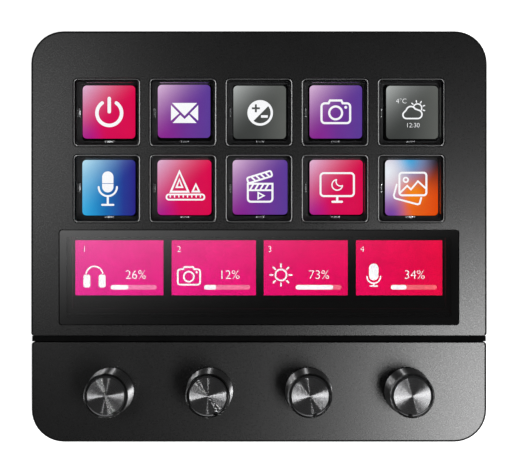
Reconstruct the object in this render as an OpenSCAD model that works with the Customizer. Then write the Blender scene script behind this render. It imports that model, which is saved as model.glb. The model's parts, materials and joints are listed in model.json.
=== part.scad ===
// Macro keypad: ten clear keys over a display, a flush touch strip and four push knobs, on a slanted stand.
// Millimetres. +X is the user's right, +Y is away from the user, +Z is up; Z = 0 is the desk.
// Pieces of the slab are drawn on its face: x right, y up the slope, z out of the face, z = 0 on the deck.

/* [Face layout] */
// Width of deck between two key caps side by side
key_web = 2.6; // [2.2:0.1:6]
// Length of deck between the two rows of key caps
row_web = 2.3; // [2:0.1:6]
// From the outer key caps to the side of the body
side_margin = 12.05; // [11:0.05:18]
// From the rear key caps to the rear edge of the body
rear_margin = 13.5; // [12.5:0.05:20]
// Length of deck between the front key caps and the strip glass
strip_web = 2.1; // [1.4:0.1:2.9]
// From the strip glass to the front edge of the deck cover
strip_margin = 3.15; // [2.6:0.05:6]
// Width of the open groove between the two covers
groove_w = 1.75; // [1.2:0.05:3]
// From the groove to the middle of the knobs
knob_margin = 13.75; // [12.5:0.05:18]
// From the middle of the knobs to the front edge of the body
front_margin = 14.65; // [13.5:0.05:20]

/* [Covers] */
// Corner radius of the body seen from above
corner_r = 9.2; // [6:0.1:13]
// Corner radius of the covers where they meet the groove
groove_r = 0.8; // [0.8:0.1:3]
// Thickness of the covers' sides
wall = 2; // [1.6:0.1:2.4]
// Thickness of the covers' decks
deck_t = 2; // [1.6:0.1:3]
// Rounding of the outer edges
edge_r = 0.6; // [0.3:0.1:1.2]
// How much narrower the knob cover is than the deck cover, on each side
cover_step = 0.13; // [0:0.01:0.4]
// Thickness of the back cover's floor
floor_t = 1.8; // [1.4:0.1:3]

/* [Stand] */
// Slant of the face
tilt = 20; // [12:1:28]
// Height of the slab's lowest edge above the desk
front_lift = 4; // [3.4:0.1:8]
// How far the stand stays inside the slab at the front and the rear
stand_inset = 9; // [6:0.5:16]
// How far the stand stays inside the slab at each side
stand_side = 10.75; // [9:0.25:16]
// Corner radius of the stand seen from above
stand_r = 9; // [6:0.5:14]
// Thickness of the stand's walls
stand_wall = 2.4; // [1.8:0.1:3.2]
// Thickness of the plate that closes the stand
stand_plate_t = 1.8; // [1.6:0.1:3]
// How far that plate stays inside the stand, as a shadow gap
plate_inset = 1; // [0.4:0.1:2]
// Thickness of the rubber grip strips
grip_t = 1.2; // [0.8:0.1:2]
// Width of the rubber grip strips
grip_w = 7; // [4:0.5:10]
// Length of the rubber grip strips
grip_l = 72; // [40:1:80]

/* [Keys] */
// Width of a key cap
cap_w = 19; // [16.5:0.1:19.4]
// Length of a key cap
cap_l = 19.3; // [16.8:0.1:19.5]
// Corner radius of a key cap
cap_r = 1.35; // [0.6:0.05:2.2]
// Width of the bevel round a key cap's top
cap_bevel = 0.35; // [0.15:0.05:0.6]
// How far a key cap stands above the deck
cap_proud = 0.5; // [0.2:0.05:1.5]
// Thickness of a key cap's clear top
cap_top = 1.2; // [0.8:0.1:1.6]
// Thickness of a key cap's side walls
cap_wall = 1; // [0.6:0.05:1.2]
// Gap between a key cap and the deck all round it
key_gap = 0.2; // [0.12:0.01:0.3]
// How far a key cap's flange reaches under the deck
flange_lip = 0.6; // [0.4:0.05:0.7]
// Thickness of a key cap's flange
flange_t = 1; // [0.6:0.05:1.6]
// Travel of a key
key_travel = 1.2; // [0.6:0.1:2]
// How much narrower and shorter a window in the key mat is than the hollow of its key cap
window_room = 1.1; // [0.8:0.1:2]
// How far those windows sit right of and above their keys, to leave room for the contact clips
window_shift = 0.35; // [0.1:0.05:0.4]
// Thickness of the key mat's sheet
mat_t = 0.4; // [0.3:0.05:1]
// Thickness of the soft rings that lift the key caps
ring_t = 0.6; // [0.4:0.05:0.7]
// Length of a contact clip
clip_l = 2.8; // [2:0.1:4]
// Width of a contact clip
clip_w = 0.45; // [0.3:0.05:0.5]
// Height of a contact clip's prongs
clip_h = 0.8; // [0.5:0.05:1.2]

/* [Touch strip and display] */
// How far the strip glass reaches beyond the display's lit cells at each side
strip_over = 2.7; // [2.2:0.1:5]
// Length of the strip glass
strip_l = 26.9; // [22:0.1:27.5]
// Corner radius of the strip glass
strip_r = 0.8; // [0.3:0.1:2]
// Thickness of the strip glass
strip_t = 1.1; // [0.7:0.05:1.3]
// Thickness of the touch film under the strip glass
film_t = 0.25; // [0.15:0.05:0.25]
// Width of the deck's ledge that carries the strip glass
ledge_w = 2; // [1.2:0.1:3]
// Dark border of the display panel beyond its lit cells
panel_border = 3.2; // [2:0.1:3.4]
// Thickness of the display panel
panel_t = 2; // [1.2:0.1:3]
// Thickness of the backlight
backlight_t = 1.4; // [0.8:0.1:2.5]
// Thickness of the sheet-metal tray
tray_t = 0.3; // [0.2:0.05:0.5]

/* [Knobs] */
// Distance between neighbouring knobs
knob_pitch = 28; // [24:0.1:31]
// Diameter of a knob at its foot
knob_d = 13.3; // [12:0.1:16]
// How far a knob's side leans in from its foot to its top
knob_lean = 0.53; // [0:0.01:0.8]
// Width of the black rim round a knob's metal disc
knob_rim = 0.42; // [0.35:0.01:1]
// Height of a knob
knob_h = 12; // [10:0.1:18]
// Gap between a knob and the deck
knob_gap = 0.8; // [0.8:0.05:1.4]
// Travel of a knob's push
push_travel = 0.5; // [0.3:0.05:0.5]
// Thickness of that disc
disc_t = 0.8; // [0.6:0.05:1.4]
// How far the disc stands out of the knob
disc_proud = 0.25; // [0.1:0.05:0.5]
// Width of the disc's bevel
disc_bevel = 0.55; // [0.2:0.05:0.8]
// Width of the pointer notch in the disc's edge
notch_w = 1.2; // [0.6:0.05:2]
// Depth of the pointer notch
notch_d = 0.7; // [0.3:0.05:1]

/* [Encoders] */
// Diameter of the shaft
shaft_d = 6; // [5:0.1:6.2]
// Depth of the flat on the shaft
shaft_flat = 1.5; // [0.8:0.1:1.8]
// Solid part of the knob between the shaft's end and the disc
knob_crown = 1.3; // [0.8:0.1:3]
// Diameter of the shaft's keyed lower end
key_d = 4.4; // [3.6:0.1:4.6]
// Width across the flats of that end
key_w = 3.2; // [2.6:0.1:3.4]
// Diameter of the bushing
bush_d = 7; // [6.8:0.1:8]
// Height of the bushing above the encoder case
bush_h = 5; // [4:0.1:6]
// Running clearance round a shaft
run_gap = 0.05; // [0.02:0.01:0.08]
// Width of an encoder case
case_w = 11.7; // [10.8:0.1:13]
// Length of an encoder case
case_l = 12; // [11:0.1:13.4]
// Height of an encoder case
case_h = 4.6; // [4.4:0.1:7]
// Diameter of the detent wheel
wheel_d = 9; // [7.5:0.1:9.4]
// Thickness of the detent wheel
wheel_t = 1.2; // [0.8:0.1:1.3]

/* [Boards and fasteners] */
// Thickness of both circuit boards
board_t = 1.6; // [1:0.1:1.6]
// Width of the main board
board_w = 84; // [70:0.5:86]
// Length of the main board
board_l = 58; // [50:0.5:66]
// Length of the knob board
knob_board_l = 15; // [14:0.1:17]
// Width of the USB socket's shell
usb_w = 8.94; // [8.5:0.02:9.4]
// Height of the USB socket's shell
usb_h = 3.26; // [3:0.02:3.6]
// Length of the USB socket's shell
usb_l = 7.35; // [6:0.05:10]
// Width of the ribbon cable
ribbon_w = 16; // [8:0.5:24]
// Thickness of the ribbon cable
ribbon_t = 0.3; // [0.2:0.05:0.4]
// Diameter of the case screws
screw_d = 2.2; // [1.8:0.1:2.6]
// Diameter of the case screws' heads
screw_head_d = 4; // [3.4:0.1:4.2]
// Diameter of the small screws that hold boards and plates
small_d = 1.6; // [1.2:0.1:1.8]
// Diameter of the small screws' heads
small_head_d = 3; // [2.6:0.1:3.4]

/* [Hidden] */
$fn = 64;
hull_fn = 40;

// Packages on the main board: width, length, height, and place from the board's middle
packages = [[14, 14, 1.2, -12, 2], [10, 12, 1, 8, 4], [8, 6, 1, 24, 8], [6, 6, 2.4, 28, -8],
    [12, 4, 1.8, -24, -20]];

// Counts: the face always has two rows of five keys over a display of three rows, and four knobs
cols = 5;
rows = 2;
cells = 3;
knobs = 4;
detents = 20;
// Where each knob's pointer stands at rest, in degrees from the right
pointer_at = [-62, -67, -75, -96];

// Small clearances and depths; usb_tongue is its side margin, its depth inside the mouth and its thickness
fit_gap = 0.1;
rest_gap = 0.15;
glass_gap = 0.15;
frame_inset = 0.5;
frame_t = 1.2;
pad_h = 0.4;
pad_w = 4;
pad_r = 2;
groove_d = 1.2;
slot_l = 3;
ribbon_bend = 2.2;
ribbon_grip = [5, 1.2];
slot_gap = 1;
mat_margin = 0.6;
mat_r = 1;
case_gap = 0.4;
case_roof = 0.8;
case_floor = 0.4;
wheel_gap = 0.3;
shoulder_in = 0.2;
dome_h = 0.6;
dome_t = 0.15;
dome_in = 1.2;
usb_gap = 0.35;
usb_headroom = 1;
usb_wall = 0.3;
solder_gap = 0.8;
screw_gap = 0.2;
boss_sink = 0.3;
boss_wall = 1.1;
post_wall = 2;
board_edge = 1;
board_side = 4.15;
board_corner = 4;
stand_screw_in = 28;
stand_screw_side = 8;
post_side = 2;
grip_edge = 2.5;
bush_gap = 0.4;
bush_flange = [2.4, 0.3];
tray_short = 0.6;
gasket_w = 1.4;
knob_soft = 0.25;
head_h = 1.2;
small_head_h = 0.8;
head_sink = 0.3;
bite = 3;
case_bite = 4;
board_bite = 1.6;
pilot_more = 0.6;
usb_back = 1.2;
usb_tongue = [1.2, 0.8, 0.7];

// Widths and lengths on the face
key_pitch = cap_w + key_web;
row_pitch = cap_l + row_web;
body_w = (cols - 1) * key_pitch + cap_w + 2 * side_margin;
body_l = rear_margin + (rows - 1) * row_pitch + cap_l + strip_web + strip_l + strip_margin
    + groove_w + knob_margin + front_margin;
row_y = [for (i = [0 : rows - 1]) body_l / 2 - rear_margin - cap_l / 2 - i * row_pitch];
col_x = [for (i = [0 : cols - 1]) (i - (cols - 1) / 2) * key_pitch];
key_at = [for (y = row_y) for (x = col_x) [x, y]];
strip_w = cols * key_pitch + 2 * strip_over;
strip_y = row_y[rows - 1] - cap_l / 2 - strip_web - strip_l / 2;
mat_front = row_y[rows - 1] - row_pitch / 2 - mat_margin;
deck_front = strip_y - strip_l / 2 - strip_margin;
deck_l = body_l / 2 - deck_front;
deck_y = (body_l / 2 + deck_front) / 2;
knob_cover_rear = deck_front - groove_w;
knob_cover_l = knob_cover_rear + body_l / 2;
knob_cover_w = body_w - 2 * cover_step;
knob_cover_y = (knob_cover_rear - body_l / 2) / 2;
knob_y = knob_cover_rear - knob_margin;
knob_at = [for (i = [0 : knobs - 1]) [(i - (knobs - 1) / 2) * knob_pitch, knob_y]];
knob_board_w = (knobs - 1) * knob_pitch + case_w + 2 * board_side;
ribbon_rise = knob_y + knob_board_l / 2 + ribbon_bend;
open_w = cap_w + 2 * key_gap;
open_l = cap_l + 2 * key_gap;
window_w = cap_w - 2 * cap_wall - window_room;
window_l = cap_l - 2 * cap_wall - window_room;
flange_w = open_w + 2 * flange_lip;
flange_l = open_l + 2 * flange_lip;
panel_w = cols * key_pitch + 2 * panel_border;
panel_l = cells * row_pitch + 2 * panel_border;
panel_y = row_y[0] - (cells - 1) / 2 * row_pitch;

// Heights on the face, from the deck down
flange_z = -deck_t - rest_gap - flange_t;
mat_z = flange_z - key_travel - rest_gap;
panel_z = mat_z - mat_t;
backlight_z = panel_z - panel_t;
tray_z = backlight_z - backlight_t - tray_t;
case_z = -deck_t - case_gap;
knob_board_z = case_z - case_h;
frame_z = min(tray_z, knob_board_z - board_t) - pad_h;
back_z = frame_z - frame_t;
board_z = back_z - usb_h - usb_headroom;
floor_z = board_z - board_t - solder_gap;
body_t = floor_t - floor_z;

// Knob diameters
knob_top_d = knob_d - 2 * knob_lean;
pocket_d = knob_top_d - 2 * knob_rim;
disc_d = pocket_d - fit_gap;

// Encoder heights
bush_top = case_z + bush_h;
wheel_z = case_z - case_roof - wheel_gap - wheel_t;
shoulder_z = case_z - shoulder_in;
case_floor_z = knob_board_z + case_floor;
key_end_z = case_floor_z + dome_h + fit_gap;
knob_bore_z = bush_top + push_travel + case_gap;
knob_top = knob_gap + knob_h;
disc_z = knob_top + disc_proud - disc_t;
knob_bore_top = disc_z - knob_crown;
shaft_top = knob_bore_top - case_gap;

// Where the screws stand on the face
boss_d = screw_d + 2 * boss_wall;
boss_x = body_w / 2 - wall - boss_d / 2 + boss_sink;
deck_boss_y = [body_l / 2 - corner_r, deck_front + wall + boss_d / 2 - boss_sink];
deck_bosses = [for (s = [-1, 1]) for (y = deck_boss_y) [s * boss_x, y]];
knob_bosses = [for (s = [-1, 1]) [s * (boss_x - cover_step), knob_y]];
case_screw_at = concat(deck_bosses, knob_bosses);
board_y = body_l / 2 - wall - board_edge - board_l / 2;
board_screw_at = [for (sx = [-1, 1]) for (sy = [-1, 1])
    [sx * (board_w / 2 - board_corner), board_y + sy * (board_l / 2 - board_corner)]];
knob_screw_at = [for (s = [-1, 0, 1]) [s * (knob_board_w / 2 - board_side / 2), knob_y]];

// The slab's place over the desk
slab_front_y = -body_l / 2 * cos(tilt) + body_t * sin(tilt);
face_y = -body_t * sin(tilt) / 2;
face_z = front_lift + body_l / 2 * sin(tilt) + body_t * cos(tilt);
stand_w = body_w - 2 * stand_side;
stand_front = face_y + slab_front_y + stand_inset;
stand_rear = face_y + slab_front_y + body_l * cos(tilt) - stand_inset;
stand_l = stand_rear - stand_front;
stand_y = (stand_rear + stand_front) / 2;
stand_z = grip_t + stand_plate_t;
stand_screw_x = stand_w / 2 - stand_screw_side;
stand_screw_y = body_l / 2 - stand_screw_in;
stand_boss_d = boss_d + 1;
stand_screw_at = [for (s = [-1, 1]) for (y = [-stand_screw_y, stand_screw_y]) [s * stand_screw_x, y]];
post_d = small_d + 2 * post_wall;
post_in = stand_wall + post_d / 2 + board_edge;
post_at = [for (sx = [-1, 1]) for (sy = [-1, 1])
    [sx * (stand_w / 2 - post_in - post_side), stand_y + sy * (stand_l / 2 - post_in)]];
plate_screw_l = stand_plate_t + bite;
grip_at = [for (s = [-1, 1]) stand_y + s * (stand_l / 2 - plate_inset - grip_edge - grip_w / 2)];

// Places what is drawn on the face of the slab
module on_face() {
    translate([0, face_y, face_z]) rotate([tilt, 0, 0]) children();
}

// Flat outline with its own corner radii at the rear and at the front
module outline(w, l, rear_r, front_r) {
    difference() {
        square([w, l], center = true);
        for (sx = [-1, 1], sy = [-1, 1]) let (r = sy > 0 ? rear_r : front_r)
            translate([sx * (w / 2 - r), sy * (l / 2 - r)]) difference() {
                translate([sx > 0 ? 0 : -r - 1, sy > 0 ? 0 : -r - 1]) square(r + 1);
                circle(r);
            }
    }
}

// Flat outline with one corner radius
module rounded(w, l, r) {
    outline(w, l, r, r);
}

// Block from z = -depth up to 0 whose upper outer edge is rounded in two facets
module soft_block(w, l, rear_r, front_r, depth, soft) {
    steps = [[0, soft], [0.3 * soft, 0.3 * soft], [soft, 0]];
    hull() for (s = steps)
        translate([0, 0, -depth]) linear_extrude(depth - s[1])
            outline(w - 2 * s[0], l - 2 * s[0], rear_r - s[0], front_r - s[0], $fn = hull_fn);
}

// Upright cylinder from z = low to z = high
module post(d, low, high) {
    translate([0, 0, low]) cylinder(d = d, h = high - low);
}

// A cover open at the bottom, with a boss and a pilot hole for each screw
module cover(w, l, y, rear_r, front_r, bosses) {
    difference() {
        union() {
            difference() {
                translate([0, y, 0]) soft_block(w, l, rear_r, front_r, -frame_z, edge_r);
                translate([0, y, frame_z - 1]) linear_extrude(1 - deck_t - frame_z)
                    outline(w - 2 * wall, l - 2 * wall, max(rear_r - wall, 0.4), max(front_r - wall, 0.4));
            }
            for (p = bosses) translate(p) post(boss_d, frame_z, -deck_t / 2);
        }
        for (p = bosses) translate(p) post(screw_d + fit_gap, frame_z - 1, -deck_t - case_gap);
    }
}

module deck_cover() {
    color("#2e2e30") on_face() difference() {
        cover(body_w, deck_l, deck_y, corner_r, groove_r, deck_bosses);
        for (p = key_at) translate([p[0], p[1], -deck_t - 1]) linear_extrude(deck_t + 2)
            rounded(open_w, open_l, cap_r + key_gap);
        translate([0, strip_y, -strip_t]) linear_extrude(strip_t + 1)
            rounded(strip_w + 2 * glass_gap, strip_l + 2 * glass_gap, strip_r + glass_gap);
        translate([0, strip_y, -deck_t - 1]) linear_extrude(deck_t + 2)
            rounded(strip_w - 2 * ledge_w, strip_l - 2 * ledge_w, strip_r);
    }
}

module knob_cover() {
    color("#2e2e30") on_face() difference() {
        cover(knob_cover_w, knob_cover_l, knob_cover_y, groove_r, corner_r, knob_bosses);
        for (p = knob_at) translate(p) post(bush_d + 2 * screw_gap, -deck_t - 1, 1);
    }
}

// Plate clamped between the covers and the back cover, with a rib that stands in the groove
module mid_frame() {
    color("#0c0c0d") on_face() difference() {
        union() {
            translate([0, 0, back_z]) linear_extrude(frame_t)
                rounded(body_w - 2 * frame_inset, body_l - 2 * frame_inset, corner_r - frame_inset);
            translate([-body_w / 2 + frame_inset, knob_cover_rear + fit_gap, back_z])
                cube([body_w - 2 * frame_inset, groove_w - 2 * fit_gap, -groove_d - back_z]);
            translate([0, panel_y, back_z]) linear_extrude(tray_z - back_z) difference() {
                rounded(panel_w, panel_l, pad_r);
                rounded(panel_w - 2 * pad_w, panel_l - 2 * pad_w, pad_r);
            }
            for (p = knob_screw_at) translate(p) post(post_d, back_z, knob_board_z - board_t);
        }
        for (p = case_screw_at) translate(p) post(screw_d + 2 * screw_gap, back_z - 1, frame_z + 1);
        for (p = knob_screw_at) translate(p) post(small_d + fit_gap, back_z - 1, knob_board_z);
        translate([-ribbon_w / 2 - slot_gap, ribbon_rise - slot_l / 2, back_z - 1])
            cube([ribbon_w + 2 * slot_gap, slot_l, frame_t + 2]);
    }
}

module back_cover() {
    tower_d = screw_head_d + 2 * boss_wall;
    color("#262628") on_face() difference() {
        union() {
            difference() {
                translate([0, 0, -body_t]) mirror([0, 0, 1])
                    soft_block(body_w, body_l, corner_r, corner_r, body_t + back_z, edge_r);
                translate([0, 0, floor_z]) linear_extrude(1 + back_z - floor_z)
                    rounded(body_w - 2 * wall, body_l - 2 * wall, corner_r - wall);
            }
            for (p = case_screw_at) translate(p) post(tower_d, floor_z - floor_t / 2, back_z);
            for (p = board_screw_at) translate(p) post(post_d, floor_z - floor_t / 2, board_z - board_t);
            for (p = stand_screw_at) translate(p) post(stand_boss_d, floor_z - floor_t / 2, back_z - fit_gap);
        }
        for (p = case_screw_at) translate(p) {
            post(screw_d + 2 * screw_gap, -body_t - 1, back_z + 1);
            post(screw_head_d + 2 * screw_gap, -body_t - 1, -body_t + head_h + head_sink);
        }
        for (p = board_screw_at) translate(p) post(small_d + fit_gap, -body_t + pilot_more, board_z);
        for (p = stand_screw_at) translate(p) post(screw_d + fit_gap, -body_t - 1, back_z - 1);
        translate([0, body_l / 2, board_z + usb_h / 2]) rotate([90, 0, 0])
            linear_extrude(4 * wall, center = true)
                rounded(usb_w + 2 * usb_gap, usb_h + 2 * usb_gap, usb_h / 2 + usb_gap - 0.01);
    }
}

module strip_glass() {
    color("#0a0a0c") on_face() translate([0, strip_y, -strip_t]) linear_extrude(strip_t)
        rounded(strip_w, strip_l, strip_r);
}

// Touch film bonded under the strip glass, inside the deck's ledge
module touch_film() {
    color("#3a3a30") on_face() translate([0, strip_y, -strip_t - film_t]) linear_extrude(film_t)
        rounded(strip_w - 2 * ledge_w - 2 * glass_gap, strip_l - 2 * ledge_w - 2 * glass_gap, strip_r);
}

// Foam frame that closes the space between the display and the deck round the strip window
module display_gasket() {
    w = strip_w - 2 * ledge_w;
    front = panel_y - panel_l / 2;
    rear = min(strip_y + strip_l / 2 - ledge_w + gasket_w, mat_front - fit_gap);
    color("#141414") on_face() translate([0, (front + rear) / 2, panel_z]) linear_extrude(-deck_t - panel_z)
        difference() {
            square([w, rear - front], center = true);
            square([w - 2 * gasket_w, rear - front - 2 * gasket_w], center = true);
        }
}

// Silicone sheet with a window under each key and a soft ring that carries the key's flange
module key_mat() {
    color("#101012") on_face() difference() {
        union() {
            translate([0, (row_y[0] + row_y[rows - 1]) / 2, panel_z]) linear_extrude(mat_t)
                rounded(cols * key_pitch + 2 * mat_margin, rows * row_pitch + 2 * mat_margin, mat_r);
            for (p = key_at) translate([p[0], p[1], panel_z]) linear_extrude(flange_z - panel_z)
                difference() {
                    rounded(cap_w + 2 * ring_t, cap_l + 2 * ring_t, cap_r + ring_t);
                    rounded(cap_w, cap_l, cap_r);
                }
        }
        for (p = key_at) translate([p[0] + window_shift, p[1] + window_shift, panel_z - 1])
            linear_extrude(mat_t + 2) rounded(window_w, window_l, mat_r);
    }
}

// Two-pronged metal clips beside each window, one on the left and one in front
module contact_clips() {
    side_x = -(cap_w / 2 - cap_wall + window_w / 2 - window_shift) / 2;
    front_y = -(cap_l / 2 - cap_wall + window_l / 2 - window_shift) / 2;
    color("#e8e8e8") on_face() for (p = key_at) {
        translate([p[0] + side_x, p[1] + window_shift, mat_z]) rotate([0, 0, 90]) clip();
        translate([p[0] + window_shift, p[1] + front_y, mat_z]) clip();
    }
}

module clip() {
    prong = clip_l / 4;
    translate([-clip_l / 2, -clip_w / 2, 0]) cube([clip_l, clip_w, clip_h / 3]);
    for (s = [-1, 1]) translate([s * (clip_l - prong) / 2 - prong / 2, -clip_w / 2, 0])
        cube([prong, clip_w, clip_h]);
}

module display_panel() {
    color("#050507") on_face() translate([-panel_w / 2, panel_y - panel_l / 2, backlight_z])
        cube([panel_w, panel_l, panel_t]);
}

module backlight() {
    color("#e9eef2") on_face() translate([-panel_w / 2, panel_y - panel_l / 2, tray_z + tray_t])
        cube([panel_w, panel_l, backlight_t]);
}

// Sheet-metal tray whose turned-up edges hold the display and its backlight
module display_tray() {
    w = panel_w + 2 * fit_gap;
    l = panel_l + 2 * fit_gap;
    color("#8d9298") on_face() translate([0, panel_y, tray_z]) difference() {
        translate([-w / 2 - tray_t, -l / 2 - tray_t, 0])
            cube([w + 2 * tray_t, l + 2 * tray_t, panel_z - tray_short - tray_z]);
        translate([-w / 2, -l / 2, tray_t]) cube([w, l, backlight_t + panel_t]);
    }
}

module main_board() {
    color("#1d5e3a") on_face() difference() {
        translate([-board_w / 2, board_y - board_l / 2, board_z - board_t]) cube([board_w, board_l, board_t]);
        for (p = board_screw_at) translate(p) post(small_d + 2 * fit_gap, board_z - board_t - 1, board_z + 1);
        for (p = stand_screw_at) translate(p)
            post(stand_boss_d + 2 * rest_gap, board_z - board_t - 1, board_z + 1);
    }
}

// Packages soldered on the main board
module board_parts() {
    color("#1a1a1c") on_face() translate([0, board_y, board_z]) for (c = packages)
        translate([c[3] - c[0] / 2, c[4] - c[1] / 2, 0]) cube([c[0], c[1], c[2]]);
}

// Metal shell of the socket with its tongue, open to the rear
module usb_socket() {
    rear = body_l / 2 - usb_gap;
    color("#b9bdc2") on_face() translate([0, rear, board_z + usb_h / 2]) rotate([90, 0, 0]) {
        linear_extrude(usb_l) difference() {
            rounded(usb_w, usb_h, usb_h / 2 - 0.01);
            rounded(usb_w - 2 * usb_wall, usb_h - 2 * usb_wall, usb_h / 2 - usb_wall - 0.01);
        }
        translate([0, 0, usb_l - usb_back]) linear_extrude(usb_back) rounded(usb_w, usb_h, usb_h / 2 - 0.01);
        translate([0, 0, usb_tongue[1]]) linear_extrude(usb_l - usb_tongue[1] - usb_back / 2)
            square([usb_w - 2 * usb_tongue[0], usb_tongue[2]], center = true);
    }
}

module knob_board() {
    color("#1d5e3a") on_face() difference() {
        translate([-knob_board_w / 2, knob_y - knob_board_l / 2, knob_board_z - board_t])
            cube([knob_board_w, knob_board_l, board_t]);
        for (p = knob_screw_at) translate(p)
            post(small_d + 2 * fit_gap, knob_board_z - board_t - 1, knob_board_z + 1);
    }
}

// Flat cable from the top of the main board, under the groove and up onto the knob board
module ribbon_cable() {
    start = board_y - board_l / 2 + ribbon_grip[0];
    land = knob_y + knob_board_l / 2 - ribbon_grip[1];
    t = ribbon_t;
    color("#d8d4c8") on_face() rotate([90, 0, 90]) linear_extrude(ribbon_w, center = true) polygon([
        [start, board_z], [start, board_z + t], [ribbon_rise + t / 2, board_z + t],
        [ribbon_rise + t / 2, knob_board_z + t], [land, knob_board_z + t], [land, knob_board_z],
        [ribbon_rise - t / 2, knob_board_z], [ribbon_rise - t / 2, board_z]]);
}

// Fixed case of one encoder, with the chamber in which its wheel turns
module encoder_case(i) {
    color("#33363a") on_face() translate(knob_at[i]) difference() {
        translate([-case_w / 2, -case_l / 2, knob_board_z]) cube([case_w, case_l, case_h]);
        post(wheel_d + 2 * wheel_gap, case_floor_z, case_z - case_roof);
        post(shaft_d + 2 * wheel_gap, case_z - case_roof - 1, case_z + 1);
    }
}

module bushing(i) {
    color("#c9a85a") on_face() translate(knob_at[i]) difference() {
        union() {
            post(bush_d, case_z, bush_top);
            post(bush_d + bush_flange[0], case_z, case_z + bush_flange[1]);
        }
        post(shaft_d + 2 * run_gap, case_z - 1, bush_top + 1);
    }
}

// Round bar with two flats: the shaft's key and the hole for it
module keyed(d, w, low, high) {
    intersection() {
        post(d, low, high);
        translate([-w / 2, -d, low]) cube([w, 2 * d, high - low]);
    }
}

// Wheel whose notches give the knob its clicks
module detent_wheel(i) {
    color("#e3e0d4") on_face() translate(knob_at[i]) rotate([0, 0, pointer_at[i]]) difference() {
        post(wheel_d, wheel_z, wheel_z + wheel_t);
        keyed(key_d + 2 * run_gap, key_w + 2 * run_gap, wheel_z - 1, wheel_z + wheel_t + 1);
        for (k = [0 : detents - 1]) rotate([0, 0, k * 360 / detents])
            translate([wheel_d / 2 + 0.2, 0, 0]) post(1, wheel_z - 1, wheel_z + wheel_t + 1);
    }
}

// Shaft with a flat for the knob above the bushing and a keyed end for the wheel below it
module shaft(i) {
    color("#b4b8bd") on_face() translate(knob_at[i]) rotate([0, 0, pointer_at[i]]) {
        difference() {
            post(shaft_d, shoulder_z, shaft_top);
            translate([shaft_d / 2 - shaft_flat, -shaft_d, knob_bore_z]) cube([shaft_d, 2 * shaft_d, knob_h]);
        }
        keyed(key_d, key_w, key_end_z, shoulder_z);
    }
}

// Snap dome under each shaft, which gives the push its click
module push_domes() {
    foot_r = wheel_d / 2 - dome_in;
    top_r = foot_r * 0.35;
    color("#cfd2d6") on_face() for (p = knob_at) translate([p[0], p[1], case_floor_z]) rotate_extrude()
        polygon([[0, dome_h - dome_t], [0, dome_h], [top_r, dome_h], [foot_r, dome_t], [foot_r, 0],
            [top_r, dome_h - dome_t]]);
}

// Tapered knob, open below round the bushing, with a pocket for its disc and a key in the disc's notch
module knob_body(i) {
    r = knob_d / 2;
    top_r = knob_top_d / 2;
    color("#0b0b0c") on_face() translate(knob_at[i]) rotate([0, 0, pointer_at[i]]) difference() {
        rotate_extrude() polygon([[0, knob_gap], [r - knob_soft, knob_gap], [r, knob_gap + knob_soft],
            [top_r, knob_top - knob_soft], [top_r - knob_soft, knob_top], [0, knob_top]]);
        difference() {
            post(pocket_d, disc_z, knob_top + 1);
            translate([disc_d / 2 - notch_d + fit_gap, -notch_w / 2 + fit_gap, disc_z - 1])
                cube([notch_d, notch_w - 2 * fit_gap, knob_top - disc_z + 1]);
        }
        post(bush_d + 2 * bush_gap, knob_gap - 1, knob_bore_z);
        difference() {
            post(shaft_d, knob_bore_z - 1, knob_bore_top);
            translate([shaft_d / 2 - shaft_flat, -shaft_d, knob_bore_z - 1])
                cube([shaft_d, 2 * shaft_d, knob_h]);
        }
    }
}

// Metal disc with a bevelled edge and the pointer notch
module knob_disc(i) {
    r = disc_d / 2;
    bevel_h = disc_proud + 0.1;
    color("#a9abad") on_face() translate(knob_at[i]) rotate([0, 0, pointer_at[i]]) difference() {
        translate([0, 0, disc_z]) rotate_extrude() polygon([[0, 0], [r, 0], [r, disc_t - bevel_h],
            [r - disc_bevel, disc_t], [0, disc_t]]);
        translate([r - notch_d, -notch_w / 2, disc_z - 1]) cube([2 * notch_d, notch_w, disc_t + 2]);
    }
}

// Clear cap: a bevelled lens on thin walls, with a flange that stops it under the deck
module key_cap(i) {
    color([0.75, 0.8, 0.85, 0.35]) on_face() translate(key_at[i]) difference() {
        union() {
            translate([0, 0, cap_proud]) hull() {
                translate([0, 0, flange_z - cap_proud]) linear_extrude(cap_proud - flange_z - cap_bevel)
                    rounded(cap_w, cap_l, cap_r, $fn = hull_fn);
                translate([0, 0, -cap_bevel]) linear_extrude(cap_bevel)
                    rounded(cap_w - 2 * cap_bevel, cap_l - 2 * cap_bevel, cap_r - cap_bevel, $fn = hull_fn);
            }
            translate([0, 0, flange_z]) linear_extrude(flange_t)
                rounded(flange_w, flange_l, cap_r + key_gap + flange_lip);
        }
        translate([0, 0, flange_z - 1]) linear_extrude(cap_proud - cap_top - flange_z + 1)
            rounded(cap_w - 2 * cap_wall, cap_l - 2 * cap_wall, max(cap_r - cap_wall, 0.3));
    }
}

// Everything under the plane of the slab's back, or under a plane that much below it
module below_slab(depth) {
    reach = 2 * (body_w + body_l);
    on_face() translate([-reach / 2, -reach / 2, -body_t - depth - reach]) cube([reach, reach, reach]);
}

// Upright block with the stand's plan, drawn in by some margin, from z = low up past the slab
module stand_block(margin, low) {
    translate([0, stand_y, low]) linear_extrude(face_z + body_l)
        rounded(stand_w - 2 * margin, stand_l - 2 * margin, stand_r - margin);
}

// Wedge-shaped hollow housing, open below, that carries the slab
module stand() {
    color("#1f1f21") difference() {
        intersection() {
            stand_block(0, stand_z);
            below_slab(0);
        }
        difference() {
            intersection() {
                stand_block(stand_wall, stand_z - 1);
                below_slab(stand_wall);
            }
            for (p = post_at) translate(p) post(post_d, stand_z, face_z + body_l);
        }
        for (p = post_at) translate(p)
            post(small_d + fit_gap, stand_z - 1, grip_t + small_head_h + plate_screw_l + pilot_more);
        on_face() for (p = stand_screw_at) translate(p)
            post(screw_d + 2 * screw_gap, -body_t - stand_wall - 1, 0);
    }
}

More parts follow.
